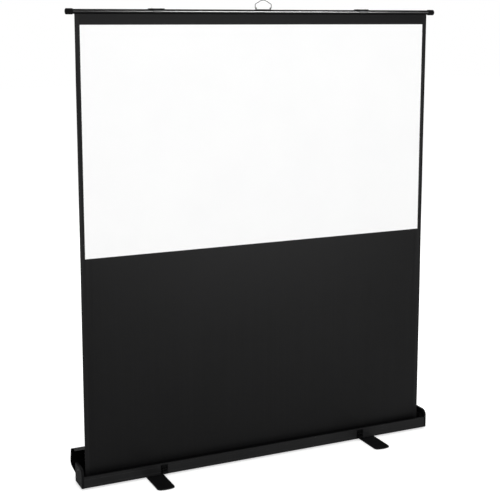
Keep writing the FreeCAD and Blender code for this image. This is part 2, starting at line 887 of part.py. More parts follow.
def make_roller_spring():
    """The close-wound torsion spring between the plug and the anchor, as one sleeve."""
    start = -roller_end + size.plug_length + size.slide_gap
    end = -half_tray + size.roller_bracket_thickness + size.mandrel_length - size.slide_gap
    return bored(
        "roller_spring", size.spring_radius, size.spring_radius - size.spring_wall, end - start,
        start, roller_y, size.roller_axis_height, TO_X,
    )


# Folding arms.


def arm_bracket_front(side):
    """The front face of the bracket that a lower arm swings on."""
    layer = first_layer if side < 0 else third_layer
    return layer - size.pivot_gap - size.arm_bracket_thickness


def make_arm_bracket(label, side):
    """A bent bracket on the tray's floor: an upright tongue and a flange behind it."""
    thick, half_width = size.arm_bracket_thickness, size.arm_bracket_width / 2
    rise = size.arm_pivot_height - floor_top
    tongue = size.arm_bracket_round
    body = new_body(label)
    sketch = new_sketch(body, "XZ_Plane")
    outline(sketch, [
        (half_width, 0.0), (half_width, thick), (tongue, rise),
        (-tongue, rise, tongue, (0.0, rise + tongue)),
        (-half_width, thick), (-half_width, 0.0),
    ])
    ring(sketch, 0.0, rise, size.pin_radius + size.running_fit)
    body.Tip = pad(body, sketch, thick)
    flange = new_sketch(body, "XY_Plane")
    back = thick / 2 + size.arm_bracket_flange
    outline(flange, [
        (-half_width, thick / 2), (half_width, thick / 2), (half_width, back), (-half_width, back),
    ])
    body.Tip = pad(body, flange, thick, centred=False)
    return place(body, size.arm_pivot_offset * side, arm_bracket_front(side) + thick / 2, floor_top)


def make_arm_brackets():
    return group("arm_brackets", [
        make_arm_bracket("left_arm_bracket", -1), make_arm_bracket("right_arm_bracket", 1),
    ])


def make_bracket_screws():
    heads = []
    reach = size.arm_bracket_width / 2 - size.bracket_screw_inset
    for side, word in ((-1, "left"), (1, "right")):
        along = (
            arm_bracket_front(side) + size.arm_bracket_thickness + size.arm_bracket_flange
            - size.bracket_screw_inset
        )
        for way in (-1, 1):
            heads.append(screw_head(
                f"bracket_screw_{word}_{way + 1}", size.arm_pivot_offset * side + reach * way,
                along, floor_top + size.arm_bracket_thickness,
            ))
    return group("arm_bracket_screws", heads)


def make_arm(label, side, upper):
    """A flat arm with round ends, a pivot hole at each and a long groove down both faces."""
    half_height, length = size.arm_height / 2, size.arm_length
    open_end = upper and side > 0
    body = new_body(label)
    sketch = new_sketch(body, "XZ_Plane")
    outline(sketch, [
        (0.0, -half_height, half_height, (-half_height, 0.0)),
        (length, -half_height),
        (length, half_height, half_height, (length + half_height, 0.0)),
        (0.0, half_height),
    ])
    ring(sketch, 0.0, 0.0, size.pin_radius + size.running_fit)
    far_gap = size.pivot_gap if open_end else size.running_fit
    ring(sketch, length, 0.0, size.pin_radius + far_gap)
    body.Tip = pad(body, sketch, size.arm_thickness)
    half_groove = size.arm_groove_width / 2
    for face in (-1, 1):
        groove = new_sketch(body, "XZ_Plane")
        outline(groove, [
            (size.arm_groove_end, -half_groove), (length - size.arm_groove_end, -half_groove),
            (length - size.arm_groove_end, half_groove), (size.arm_groove_end, half_groove),
        ])
        offset = size.arm_thickness / 2 * face
        groove.AttachmentOffset = FreeCAD.Placement(point(0, 0, offset), FreeCAD.Rotation())
        groove.setExpression("AttachmentOffset.Base.z", offset.text)
        body.Tip = pocket(body, groove, size.arm_groove_depth, centred=False, reverse=face < 0)
    layer = {
        (-1, False): first_layer, (-1, True): second_layer,
        (1, False): third_layer, (1, True): fourth_layer,
    }[(side, upper)]
    # The first pivot of a lower arm is on the tray. That of an upper arm is the elbow.
    start_x = elbow_x * -side if upper else size.arm_pivot_offset * side
    start_z = elbow_height if upper else size.arm_pivot_height
    leans_right = (side < 0) != upper
    angle = -arm_angle if leans_right else arm_angle - 180
    return place(body, start_x, layer + size.arm_thickness / 2, start_z, Y_AXIS, angle)


def make_pivot_pin(name, x, z, start, length):
    """A pin along +Y from the given place, with a head at its back end."""
    shank = rod(name + "_shank", size.pin_radius, length, x, start, z, TO_Y)
    head = rod(name + "_head", size.pin_head_radius, size.pin_head, x, start + length, z, TO_Y)
    return joined(name, [shank, head])


def make_arm_pins():
    """The pins of all six arm pivots. Each is fixed in the piece at its front."""
    base_pins, elbow_pins, top_pins = [], [], []
    for side, word in ((-1, "left"), (1, "right")):
        low_layer = first_layer if side < 0 else third_layer
        high_layer = low_layer + layer_step
        front = arm_bracket_front(side)
        x = size.arm_pivot_offset * side
        base_pins.append(make_pivot_pin(
            f"{word}_base_pivot_pin", x, size.arm_pivot_height, front,
            low_layer + size.arm_thickness + size.slide_gap - front,
        ))
        elbow_pins.append(make_pivot_pin(
            f"{word}_elbow_pin", elbow_x * -side, elbow_height, low_layer,
            layer_step + size.arm_thickness + size.slide_gap,
        ))
        clip_front = clip_back - size.clip_thickness
        top_pins.append(make_pivot_pin(
            f"{word}_top_pivot_pin", x, top_pivot, clip_front,
            high_layer + size.arm_thickness + size.slide_gap - clip_front,
        ))
    return [group("base_pivot_pins", base_pins), *elbow_pins, group("top_pivot_pins", top_pins)]


# Top bar and pull ring.


def make_bar_tube():
    """A round tube with a slot along its underside for the fabric's hem."""
    body = new_body("top_bar")
    sketch = new_sketch(body, "YZ_Plane")
    inner = size.bar_radius - size.bar_wall
    half_slot = size.bar_slot / 2
    outer_drop = root(size.bar_radius * size.bar_radius - half_slot * half_slot)
    inner_drop = root(inner * inner - half_slot * half_slot)
    outline(sketch, [
        (-half_slot, -outer_drop, size.bar_radius, (0.0, size.bar_radius)),
        (-half_slot, -inner_drop),
        (half_slot, -inner_drop, inner, (0.0, inner)),
        (half_slot, -outer_drop),
    ])
    body.Tip = pad(body, sketch, bar_length)
    return place(body, 0.0, fabric_y, size.bar_height)


def hem_drop():
    """How far the hem rod's axis lies below the bar's, with the hem between rod and tube."""
    return size.bar_radius - size.bar_wall - size.hem_rod_radius - size.fabric_thickness


def make_hem_rod():
    return rod(
        "fabric_hem_rod", size.hem_rod_radius, fabric_width,
        -fabric_width / 2, fabric_y, size.bar_height - hem_drop(), TO_X,
    )


def make_bar_cap(label, side):
    """A moulded cup over one end of the bar, with a bevelled nose in two steps."""
    radius, length = size.bar_cap_radius, size.bar_cap_length
    bore = size.bar_radius + size.running_fit
    nose = size.bar_cap_round
    floor = length - size.bar_cap_floor
    body = new_body(label)
    sketch = new_sketch(body, "XZ_Plane")
    outline(sketch, [
        (0.0, bore), (0.0, radius), (length - nose, radius),
        (length - nose / 3, radius - nose / 3), (length, radius - nose),
        (length, 0.0), (floor, 0.0), (floor, bore),
    ])
    spun = body.newObject("PartDesign::Revolution", label + "_turned")
    spun.Profile = sketch
    spun.ReferenceAxis = (sketch, ["H_Axis"])
    spun.Angle = 360
    doc.recompute()
    body.Tip = spun
    start = (bar_length / 2 - floor) * side
    return place(
        body, start, fabric_y, size.bar_height,
        FreeCAD.Vector(0, 0, 1), 0 if side > 0 else 180,
    )


def make_bar_caps():
    return group("bar_end_caps", [
        make_bar_cap("left_bar_cap", -1), make_bar_cap("right_bar_cap", 1),
    ])


def make_clip(label, side):
    """A strap that hooks over the bar and hangs behind the fabric to carry an upper arm. A
    narrower lip wraps round the front of the bar."""
    inner = size.bar_radius + size.slide_gap
    outer = inner + size.clip_thickness
    hook_y = -sine(Size(CLIP_COVER_ANGLE, repr(CLIP_COVER_ANGLE)))
    hook_z = cosine(Size(CLIP_COVER_ANGLE, repr(CLIP_COVER_ANGLE)))
    drop = size.top_pivot_drop + size.clip_tongue_radius
    body = new_body(label)
    sketch = new_sketch(body, "YZ_Plane")
    outline(sketch, [
        (inner, -drop), (outer, -drop), (outer, 0.0),
        (outer * hook_y, outer * hook_z, outer, (outer * math.sqrt(0.5), outer * math.sqrt(0.5))),
        (inner * hook_y, inner * hook_z),
        (inner, 0.0, inner, (inner * math.sqrt(0.5), inner * math.sqrt(0.5))),
    ])
    body.Tip = pad(body, sketch, size.clip_width)
    lip_y = -sine(Size(CLIP_LIP_ANGLE, repr(CLIP_LIP_ANGLE)))
    lip_z = cosine(Size(CLIP_LIP_ANGLE, repr(CLIP_LIP_ANGLE)))
    lip = new_sketch(body, "YZ_Plane")
    outline(lip, [
        (0.0, inner), (inner * lip_y, inner * lip_z, inner, (-inner, 0.0)),
        (outer * lip_y, outer * lip_z), (0.0, outer, outer, (-outer, 0.0)),
    ])
    body.Tip = pad(body, lip, size.clip_lip_width)
    half_width, tongue = size.clip_width / 2, size.clip_tongue_radius
    over = size.cut_overrun
    for way in (-1, 1):
        trim = new_sketch(body, "XZ_Plane")
        outline(trim, [
            ((half_width + over) * way, -outer), (half_width * way, -outer),
            (tongue * way, -size.top_pivot_drop),
            (tongue * way, -drop - over), ((half_width + over) * way, -drop - over),
        ])
        body.Tip = pocket(body, trim)
    body.Tip = round_edges(body, tongue - size.slide_gap, [
        (tongue * way, (inner + outer) / 2, -drop) for way in (-1, 1)
    ])
    hole = new_sketch(body, "XZ_Plane")
    ring(hole, 0.0, -size.top_pivot_drop, size.pin_radius + size.running_fit)
    body.Tip = pocket(body, hole)
    return place(body, size.arm_pivot_offset * side, fabric_y, size.bar_height)


def make_clips():
    return group("arm_clips", [make_clip("left_arm_clip", -1), make_clip("right_arm_clip", 1)])


def make_clip_screws():
    """Two screw heads on the crown of each clip."""
    seat = size.bar_height + size.bar_radius + size.slide_gap + size.clip_thickness
    return group("clip_screws", [
        screw_head(
            f"clip_screw_{side + 1}_{end + 1}",
            size.arm_pivot_offset * side + size.clip_screw_spread * end, fabric_y, seat,
        )
        for side in (-1, 1) for end in (-1, 1)
    ])


def make_ring_saddle():
    """The saddle on the middle of the bar, with an upright ear at each end for the pull ring."""
    inner = size.bar_radius + size.running_fit
    outer = inner + size.saddle_thickness
    cover = Size(SADDLE_COVER_ANGLE, repr(SADDLE_COVER_ANGLE))
    side_y, side_z = sine(cover), cosine(cover)
    body = new_body("ring_saddle")
    sketch = new_sketch(body, "YZ_Plane")
    outline(sketch, [
        (outer * side_y, outer * side_z),
        (-outer * side_y, outer * side_z, outer, (0.0, outer)),
        (-inner * side_y, inner * side_z),
        (inner * side_y, inner * side_z, inner, (0.0, inner)),
    ])
    body.Tip = pad(body, sketch, size.saddle_length)
    ears = new_sketch(body, "YZ_Plane")
    ear = size.ear_radius
    pivot = size.ring_pivot_rise
    foot = root(outer * outer - ear * ear) - size.saddle_thickness / 2
    outline(ears, [
        (ear, foot), (ear, pivot), (-ear, pivot, ear, (0.0, pivot + ear)), (-ear, foot),
    ])
    ring(ears, 0.0, pivot, size.ring_wire_radius + size.running_fit)
    body.Tip = pad(body, ears, size.saddle_length)
    between = new_sketch(body, "XZ_Plane")
    reach = size.saddle_length / 2 - size.ear_thickness
    top = pivot + ear + size.cut_overrun
    outline(between, [(-reach, outer), (reach, outer), (reach, top), (-reach, top)])
    body.Tip = pocket(body, between)
    return place(body, 0.0, fabric_y, size.bar_height)


def make_pull_ring():
    """The bent wire ring: upright sides, sloping shoulders and a slightly crowned top."""
    pivot = size.bar_height + size.ring_pivot_rise
    half, top = size.ring_half_width, size.ring_top_half_width
    start = half - size.ring_pin_length

    def at(x, rise):
        return (x, fabric_y, pivot + rise)

    right = [
        at(start, 0.0), at(half, 0.0), at(half, size.ring_side_height),
        at(top, size.ring_height - size.ring_crown),
    ]
    left = [at(-x, z - pivot) for x, _, z in reversed(right)]
    return wire_piece(
        "pull_ring", right + [at(0.0, size.ring_height)] + left,
        size.ring_bend, size.ring_wire_radius,
    )


# Draw latches.


def make_latch_plates():
    """The plates on the front wall, each with a block that holds the lever's pin."""
    plates = []
    depth = size.latch_pivot_offset
    for side, word in ((-1, "left"), (1, "right")):
        body = new_body(f"latch_plate_{word}")
        sketch = new_sketch(body, "YZ_Plane")
        low = size.latch_plate_base - size.latch_pivot_height
        high = low + size.latch_plate_height
        outline(sketch, [
            (depth, low), (depth, high), (depth - size.latch_plate, high),
            (depth - size.latch_plate, low),
        ])
        body.Tip = pad(body, sketch, size.latch_plate_width)
        block = new_sketch(body, "YZ_Plane")
        tall = size.latch_block_half_height
        outline(block, [
            (depth - size.latch_plate, -tall), (depth - size.latch_plate, tall), (0.0, tall),
            (0.0, -tall, tall, (-tall, 0.0)),
        ])
        ring(block, 0.0, 0.0, size.latch_pin_radius)
        body.Tip = pad(body, block, size.latch_block_half_width * 2)
        plates.append(place(
            body, size.latch_spread * side, latch_wall - depth, size.latch_pivot_height
        ))
    return group("latch_base_plates", plates)


def make_latch_pins():
    half = size.lever_half_width
    return group("latch_lever_pins", [
        rod(
            f"latch_pin_{word}", size.latch_pin_radius, half * 2,
            size.latch_spread * side - half, latch_wall - size.latch_pivot_offset,
            size.latch_pivot_height, TO_X,
        )
        for side, word in ((-1, "left"), (1, "right"))
    ])


def make_latch_lever(label, side):
    """The pressed lever: cheeks on the pin, a front plate and a curled lip to pull."""
    eye, drop, thick = size.lever_eye_radius, size.lever_drop, size.lever_thickness
    curl = size.lever_curl
    front = -eye - thick / 2
    body = new_body(label)
    sketch = new_sketch(body, "YZ_Plane")
    knee = -drop * LEVER_TIP_SHARE + curl / 2
    outline(sketch, [
        (-eye, 0.0, eye, (0.0, eye)),
        (front, -size.lever_web_drop),
        (front, knee),
        (front - curl, knee - curl, curl, (
            front - curl + curl * math.sqrt(0.5), knee - curl * math.sqrt(0.5)
        )),
        (front - curl, knee - curl - thick),
        (front + thick, knee, curl + thick, (
            front - curl + (curl + thick) * math.sqrt(0.5), knee - (curl + thick) * math.sqrt(0.5)
        )),
        (eye, -size.lever_web_drop),
        (eye, 0.0),
    ])
    ring(sketch, 0.0, 0.0, size.latch_pin_radius + size.running_fit)
    ring(sketch, 0.0, -size.loop_pivot_drop, size.loop_wire_radius + size.running_fit)
    body.Tip = pad(body, sketch, size.lever_half_width * 2)
    inner = size.lever_half_width - size.lever_cheek
    web = new_sketch(body, "YZ_Plane")
    far = eye + size.cut_overrun
    outline(web, [
        (front + thick, knee), (far, knee), (far, far), (-far, far),
        (-far, -size.lever_web_drop), (front + thick, -size.lever_web_drop),
    ])
    body.Tip = pocket(body, web, inner * 2)
    return place(
        body, size.latch_spread * side, latch_wall - size.latch_pivot_offset,
        size.latch_pivot_height,
    )


def make_latch_loop(label, side):
    """The wire loop that reaches up from the lever's cheeks to the lid's keeper."""
    x = size.latch_spread * side
    y = latch_wall - size.latch_pivot_offset
    z = size.latch_pivot_height - size.loop_pivot_drop
    half = size.loop_half_width
    start = size.lever_half_width - size.lever_cheek + size.running_fit
    top_y, top_z = y + size.loop_lean, z + size.loop_height
    return wire_piece(label, [
        (x - start, y, z), (x - half, y, z), (x - half, top_y, top_z),
        (x + half, top_y, top_z), (x + half, y, z), (x + start, y, z),
    ], size.loop_bend, size.loop_wire_radius)


# Fabric.


def sheet_panel(label, left, right, low, high):
    panel = doc.addObject("Part::Box", label)
    bind(panel, "Length", right - left)
    bind(panel, "Width", size.fabric_thickness)
    bind(panel, "Height", high - low)
    return place(panel, left, fabric_front, low)


def make_fabric():
    """One wide sheet: the picture field, its dark border and the dark drop down to the roller."""
    half_sheet, half_picture = fabric_width / 2, size.picture_width / 2
    low, high = picture_base, picture_top
    sheet_top = size.bar_height - hem_drop() - size.hem_rod_radius - size.running_fit
    field = sheet_panel("picture_field", -half_picture, half_picture, low, high)
    left = sheet_panel("border_left_side", -half_sheet, -half_picture, low, high)
    right = sheet_panel("border_right_side", half_picture, half_sheet, low, high)
    top = sheet_panel("border_top_side", -half_sheet, half_sheet, high, sheet_top)
    border = joined("dark_border", [left, right, top])
    drop = sheet_panel("dark_drop", -half_sheet, half_sheet, size.roller_axis_height, low)
    return [field, border, drop]


def build():
    """Makes every sub-part and gives them back in the order of their files."""
    made = [
        make_tray(),
        make_end_cap("left_end_cap", -1),
        make_end_cap("right_end_cap", 1),
        make_cap_screws(),
        make_lid_shell(),
        make_keepers(),
        make_foot("left_foot", -1),
        make_foot("right_foot", 1),
        make_foot_pads("left_foot_pads", -1),
        make_foot_pads("right_foot_pads", 1),
        *make_foot_bolts(),
        make_roller_bracket("left_roller_bracket", -1),
        make_roller_bracket("right_roller_bracket", 1),
        *make_roller(),
        make_mandrel(),
        make_roller_spring(),
        make_arm_brackets(),
        make_bracket_screws(),
        make_arm("left_lower_arm", -1, False),
        make_arm("left_upper_arm", -1, True),
        make_arm("right_lower_arm", 1, False),
        make_arm("right_upper_arm", 1, True),
        *make_arm_pins(),
        make_bar_tube(),
        make_hem_rod(),
        make_bar_caps(),
        make_clips(),
        make_clip_screws(),
        make_ring_saddle(),
        make_pull_ring(),
        make_latch_plates(),
        make_latch_pins(),
        make_latch_lever("left_latch_lever", -1),
        make_latch_lever("right_latch_lever", 1),
        make_latch_loop("left_latch_loop", -1),
        make_latch_loop("right_latch_loop", 1),
        *make_fabric(),
    ]
    doc.recompute()
    return made


def check(made):
    """Stops with a plain message if any object failed or any sub-part is not a sound solid."""
    for thing in doc.Objects:
        if any(word in thing.State for word in ("Invalid", "Error")):
            raise RuntimeError(f"{thing.Name} failed: {thing.State}")
    for thing in made:
        shape = thing.Shape
        if shape.isNull() or not shape.isValid() or not shape.Solids:
            raise RuntimeError(f"{thing.Label} has no sound solid")


def write(made):
    os.makedirs("parts", exist_ok=True)
    for thing in made:
        thing.Shape.exportStep(f"parts/{thing.Label}.step")


parts = build()
check(parts)
write(parts)
print(len(parts), "sub-parts")
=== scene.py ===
"""Looks of the portable projection screen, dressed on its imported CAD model.

Lengths are in metres and angles in degrees. +X runs to the viewer's right, +Y points behind the
screen and +Z up.
"""
import json
import math
import bmesh
import bpy
from mathutils import Matrix, Vector


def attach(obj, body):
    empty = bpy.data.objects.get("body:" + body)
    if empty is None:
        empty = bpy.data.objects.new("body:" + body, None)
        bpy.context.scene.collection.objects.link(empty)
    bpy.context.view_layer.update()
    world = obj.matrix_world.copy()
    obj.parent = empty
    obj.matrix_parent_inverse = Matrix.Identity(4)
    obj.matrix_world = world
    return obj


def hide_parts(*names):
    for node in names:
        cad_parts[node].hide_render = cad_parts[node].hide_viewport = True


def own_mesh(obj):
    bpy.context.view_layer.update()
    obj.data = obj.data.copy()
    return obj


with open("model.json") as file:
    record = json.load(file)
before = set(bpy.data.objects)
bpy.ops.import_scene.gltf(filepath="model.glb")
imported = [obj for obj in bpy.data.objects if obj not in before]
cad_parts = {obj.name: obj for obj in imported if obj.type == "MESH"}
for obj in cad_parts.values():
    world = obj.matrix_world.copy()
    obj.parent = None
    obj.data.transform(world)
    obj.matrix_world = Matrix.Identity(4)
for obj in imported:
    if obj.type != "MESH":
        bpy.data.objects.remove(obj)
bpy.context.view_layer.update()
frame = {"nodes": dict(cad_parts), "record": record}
nodes = frame["nodes"]

scene = bpy.context.scene
scene.view_settings.view_transform = "Standard"

# ---------------------------------------------------------------- places in the CAD model

SIDES = ((-1, "left"), (1, "right"))
FORWARD, BACKWARD, UPWARD = (0, -1, 0), (0, 1, 0), (0, 0, 1)

# fabric: one plane with the picture field, its border and the drop down to the roller
SHEET_Y, HALF_THICKNESS = -0.0093, 0.00025
HALF_FABRIC, HALF_FIELD = 0.9078, 0.885
SHEET_BASE, FIELD_BASE, FIELD_TOP, SHEET_TOP = 0.036, 1.072, 2.113, 2.16185

# pull ring and latch loops
RING_PIVOT_Z, RING_HALF_WIDTH, RING_PIN_END = 2.1876, 0.0415, 0.0335
RING_SIDE, RING_CORNER, RING_CROWN = 0.019, 0.036, 0.038
RING_TOP_HALF_WIDTH, RING_BEND, RING_WIRE = 0.012, 0.003, 0.00158
LATCH_X, LOOP_Y, LOOP_Z = 0.535, -0.057, 0.027
LOOP_PIN_END, LOOP_HALF_WIDTH, LOOP_HEIGHT, LOOP_LEAN = 0.00855, 0.0126, 0.027, 0.0008
LOOP_BEND, LOOP_WIRE = 0.0018, 0.00118

# screws
SCREW_RADIUS, SCREW_HEIGHT = 0.0034, 0.0018
CAP_FACE_X = 0.9388
CAP_SCREWS = ((-0.043, 0.017), (0.043, 0.017), (0.0, 0.082))
CLIP_CROWN_Z, CLIP_SCREW_SPREAD = 2.1855, 0.022
BRACKET_SCREW_SPREAD, BRACKET_SCREW_BACK, BRACKET_SCREW_Z = 0.014, 0.012, 0.013

# arms and their pins. The layers are the fronts of the lower arms, and an upper arm lies one
# step behind its lower arm.
PIN_RADIUS, PIN_HEAD_RADIUS, PIN_HEAD_DEPTH = 0.004, 0.007, 0.0014
ARM_STEP, ARM_DEPTH, PIN_SLIDE = 0.009, 0.008, 0.0003
ARM_LAYERS = {"left": 0.0058, "right": 0.0268}
BRACKET_LEAD, CLIP_FACE = 0.0036, 0.0022
BRACKET_FRONTS = {word: layer - BRACKET_LEAD for word, layer in ARM_LAYERS.items()}
PIVOT_X, BASE_PIVOT_Z, TOP_PIVOT_Z = 0.530, 0.030, 2.131
ELBOW_X, ELBOW_Z = 0.218699, 1.0805
ARM_SLOPE = 54.5223

# foot nuts
FOOT_X, NUT_Z, NUT_RADIUS, NUT_HEIGHT, BOLT_RADIUS = 0.58, 0.010, 0.007, 0.0065, 0.004

# ---------------------------------------------------------------- camera

PHOTO_SIZE = 500
FOCAL_PX = 1103.9
SENSOR_WIDTH = 36.0  # millimetres, as Blender counts it
CAMERA_AT = (-2.2645, -4.7195, 2.1305)
PITCH, YAW, SHIFT_Y = 8.9694, 25.0, -0.11
NEAREST, FARTHEST = 0.05, 200.0

camera_data = bpy.data.cameras.new("camera")
camera = bpy.data.objects.new("camera", camera_data)
scene.collection.objects.link(camera)
camera.location = CAMERA_AT
camera.rotation_euler = (math.radians(90 - PITCH), 0.0, math.radians(-YAW))
camera_data.sensor_width = SENSOR_WIDTH
camera_data.lens = FOCAL_PX * SENSOR_WIDTH / PHOTO_SIZE
camera_data.shift_y = SHIFT_Y
camera_data.clip_start, camera_data.clip_end = NEAREST, FARTHEST
scene.camera = camera

# ---------------------------------------------------------------- node helpers

# A noise's values mostly lie between these, so this part of it is stretched to a whole range.
NOISE_LOW, NOISE_HIGH = 0.3, 0.7
PATCH_LOW, PATCH_HIGH = 0.35, 0.7


class Tree:
    """Short calls for building one material's node tree."""

    def __init__(self, name):
        self.material = bpy.data.materials.new(name)
        self.material.use_nodes = True
        self.tree = self.material.node_tree
        self.tree.nodes.clear()
        out = self.tree.nodes.new("ShaderNodeOutputMaterial")
        self.shader = self.tree.nodes.new("ShaderNodeBsdfPrincipled")
        self.link(self.shader.outputs[0], out.inputs[0])
        self.place = self.tree.nodes.new("ShaderNodeTexCoord").outputs["Object"]

    def link(self, start, end):
        self.tree.links.new(start, end)

    def put(self, socket, value):
        """Sets a socket to a number or colour, or links it to another socket."""
        if isinstance(value, bpy.types.NodeSocket):
            self.link(value, socket)
        elif isinstance(value, tuple) and len(value) < len(socket.default_value):
            socket.default_value = (*value, 1.0)
        else:
            socket.default_value = value

    def mapped(self, scale, turn=0.0):
        """The place, turned about the depth axis and then scaled."""
        place = self.place
        for key, value in (("Rotation", (0, math.radians(turn), 0)), ("Scale", scale)):
            node = self.tree.nodes.new("ShaderNodeMapping")
            self.link(place, node.inputs["Vector"])
            node.inputs[key].default_value = value
            place = node.outputs[0]
        return place

    def noise(self, scale=1.0, detail=3.0, rough=0.55, place=None, distortion=0.0):
        node = self.tree.nodes.new("ShaderNodeTexNoise")
        self.link(place or self.place, node.inputs["Vector"])
        node.inputs["Scale"].default_value = scale
        node.inputs["Detail"].default_value = detail
        node.inputs["Roughness"].default_value = rough
        node.inputs["Distortion"].default_value = distortion
        return node.outputs["Fac"]

    def wave(self, scale, axis):
        node = self.tree.nodes.new("ShaderNodeTexWave")
        self.link(self.place, node.inputs["Vector"])
        node.bands_direction = axis
        node.inputs["Scale"].default_value = scale
        return node.outputs["Fac"]

    def span(self, value, low, high, start=0.0, end=1.0):
        """The value's range from start to end, mapped to the range from low to high."""
        node = self.tree.nodes.new("ShaderNodeMapRange")
        self.link(value, node.inputs["Value"])
        node.inputs["From Min"].default_value = start
        node.inputs["From Max"].default_value = end
        node.inputs["To Min"].default_value = low
        node.inputs["To Max"].default_value = high
        return node.outputs[0]

    def spread(self, noise, low=0.0, high=1.0):
        return self.span(noise, low, high, NOISE_LOW, NOISE_HIGH)

    def patches(self, noise):
        return self.span(noise, 0.0, 1.0, PATCH_LOW, PATCH_HIGH)

    def blend(self, share, first, second):
        """A colour between two others."""
        node = self.tree.nodes.new("ShaderNodeMix")
        node.data_type = "RGBA"
        self.put(node.inputs["Factor"], share)
        first_colour, second_colour = (s for s in node.inputs if s.type == "RGBA")
        self.put(first_colour, first)
        self.put(second_colour, second)
        return next(s for s in node.outputs if s.type == "RGBA")

    def combine(self, first, second, operation):
        node = self.tree.nodes.new("ShaderNodeMath")
        node.operation = operation
        self.put(node.inputs[0], first)
        self.put(node.inputs[1], second)
        return node.outputs[0]

    def off_middle(self, axis):
        """The distance from the middle plane across an axis."""
        node = self.tree.nodes.new("ShaderNodeSeparateXYZ")
        self.link(self.place, node.inputs[0])
        return self.combine(node.outputs[axis], 0.0, "ABSOLUTE")

    def bump(self, height, strength, distance, under=None):
        """Gives the shader a bump, over another one where there is one."""
        node = self.tree.nodes.new("ShaderNodeBump")
        self.link(height, node.inputs["Height"])
        node.inputs["Strength"].default_value = strength
        node.inputs["Distance"].default_value = distance
        if under is not None:
            self.link(under, node.inputs["Normal"])
        self.link(node.outputs[0], self.shader.inputs["Normal"])
        return node.outputs[0]

    def set(self, **values):
        names = {
            "color": "Base Color", "rough": "Roughness", "metal": "Metallic",
            "specular": "Specular IOR Level", "sheen": "Sheen Weight",
            "sheen_rough": "Sheen Roughness",
        }
        for key, value in values.items():
            self.put(self.shader.inputs[names[key]], value)


# ---------------------------------------------------------------- materials

# A noise's scale is about its number of grains per metre. A wave's lines lie 0.314 m divided by
# its scale apart, so the threads are 0.57 mm apart and the spring's turns 2.3 mm.
WEAVE_SCALE, SPRING_SCALE = 1.0 / 0.0018, 139.0
COOL = 1.06


def shades(*greys):
    """Greys, very slightly cool, as colours."""
    return tuple((grey, grey, grey * COOL) for grey in greys)


def powder_coat(name, dark, light, specular=0.25, rough=(0.36, 0.48), peel=620.0):
    """Coated metal: a fine orange peel, uneven gloss and the odd dusty patch."""
    t = Tree(name)
    cloud = t.noise(9.0, detail=5.0, rough=0.6, distortion=0.6)
    t.set(
        color=t.blend(t.patches(cloud), *shades(dark, light)),
        rough=t.spread(t.noise(26.0, detail=4.0), *rough),
        specular=specular,
    )
    t.bump(t.noise(peel, detail=4.0, rough=0.6), strength=0.22, distance=0.0002)
    return t.material


def extruded_coat(name, dark, light, specular=0.10):
    """A satin coating, with the long faint die lines of an extrusion under it."""
    t = Tree(name)
    lines = t.noise(detail=4.0, rough=0.6, place=t.mapped((2.0, 520.0, 520.0)))
    cloud = t.noise(5.0, detail=4.0, rough=0.6)
    t.set(
        color=t.blend(t.patches(cloud), *shades(dark, light)),
        rough=t.spread(lines, 0.32, 0.46),
        specular=specular,
    )
    under = t.bump(lines, strength=0.10, distance=0.0003)
    t.bump(t.noise(900.0), strength=0.12, distance=0.00012, under=under)
    return t.material


def moulded(name, dark, light, rough=(0.42, 0.55), grain=1500.0, specular=0.3):
    """Moulded plastic with a spark-eroded grain."""
    t = Tree(name)
    grains = t.noise(grain, rough=0.7)
    t.set(
        color=t.blend(t.patches(t.noise(30.0)), *shades(dark, light)),
        rough=t.spread(grains, *rough),
        specular=specular,
    )
    t.bump(grains, strength=0.3, distance=0.00025)
    return t.material


def gloss_tube(name):
    """The bar's gloss coating over a drawn tube."""
    t = Tree(name)
    lines = t.noise(rough=0.5, place=t.mapped((1.2, 260.0, 260.0)))
    t.set(
        color=t.blend(lines, *shades(0.0015, 0.003)),
        rough=t.spread(t.noise(14.0, detail=4.0), 0.18, 0.25),
        specular=0.05,
    )
    t.bump(lines, strength=0.05, distance=0.0002)
    return t.material


def anodised(name, slope):
    """Black anodised flat bar, brushed along its length, which rises by the slope's angle."""
    t = Tree(name)
    streaks = t.noise(detail=4.0, rough=0.6, place=t.mapped((6.0, 900.0, 900.0), slope))
    t.set(
        color=t.blend(t.spread(streaks), *shades(0.010, 0.026)),
        rough=t.spread(streaks, 0.26, 0.42), metal=0.35, specular=0.4,
    )
    t.bump(streaks, strength=0.12, distance=0.0002)
    return t.material


def zinc_plated(name):
    """Zinc plating: clouded bright metal with fine scratches."""
    t = Tree(name)
    tint = (1.0, 0.99, 0.95)
    dark, light = (tuple(grey * part for part in tint) for grey in (0.42, 0.6))
    cloud = t.noise(160.0, detail=4.0, rough=0.65, distortion=0.8)
    scratch = t.noise(rough=0.6, place=t.mapped((260.0, 2600.0, 700.0), 12.0))
    t.set(
        color=t.blend(t.spread(cloud), dark, light), metal=1.0,
        rough=t.span(t.combine(cloud, scratch, "MULTIPLY"), 0.22, 0.42, start=0.1, end=0.5),
    )
    t.bump(scratch, strength=0.10, distance=0.0001)
    return t.material


def chromed(name):
    """Polished chrome wire with slight waviness and handling marks."""
    t = Tree(name)
    marks = t.noise(420.0, detail=4.0, rough=0.6)
    t.set(
        color=t.blend(t.noise(60.0, detail=2.0), (0.02, 0.02, 0.021), (0.045, 0.045, 0.047)),
        rough=t.span(marks, 0.05, 0.16, PATCH_LOW, PATCH_HIGH), metal=1.0,
    )
    t.bump(t.noise(240.0, detail=2.0), strength=0.06, distance=0.0002)
    return t.material


def rubber(name):
    """Matt rubber with a coarse grain."""
    t = Tree(name)
    grains = t.noise(900.0, detail=4.0, rough=0.7)
    t.set(
        color=t.blend(t.noise(80.0), (0.012, 0.012, 0.012), (0.028, 0.027, 0.026)),
        rough=t.spread(grains, 0.72, 0.92), specular=0.25,
    )
    t.bump(grains, strength=0.45, distance=0.0004)
    return t.material


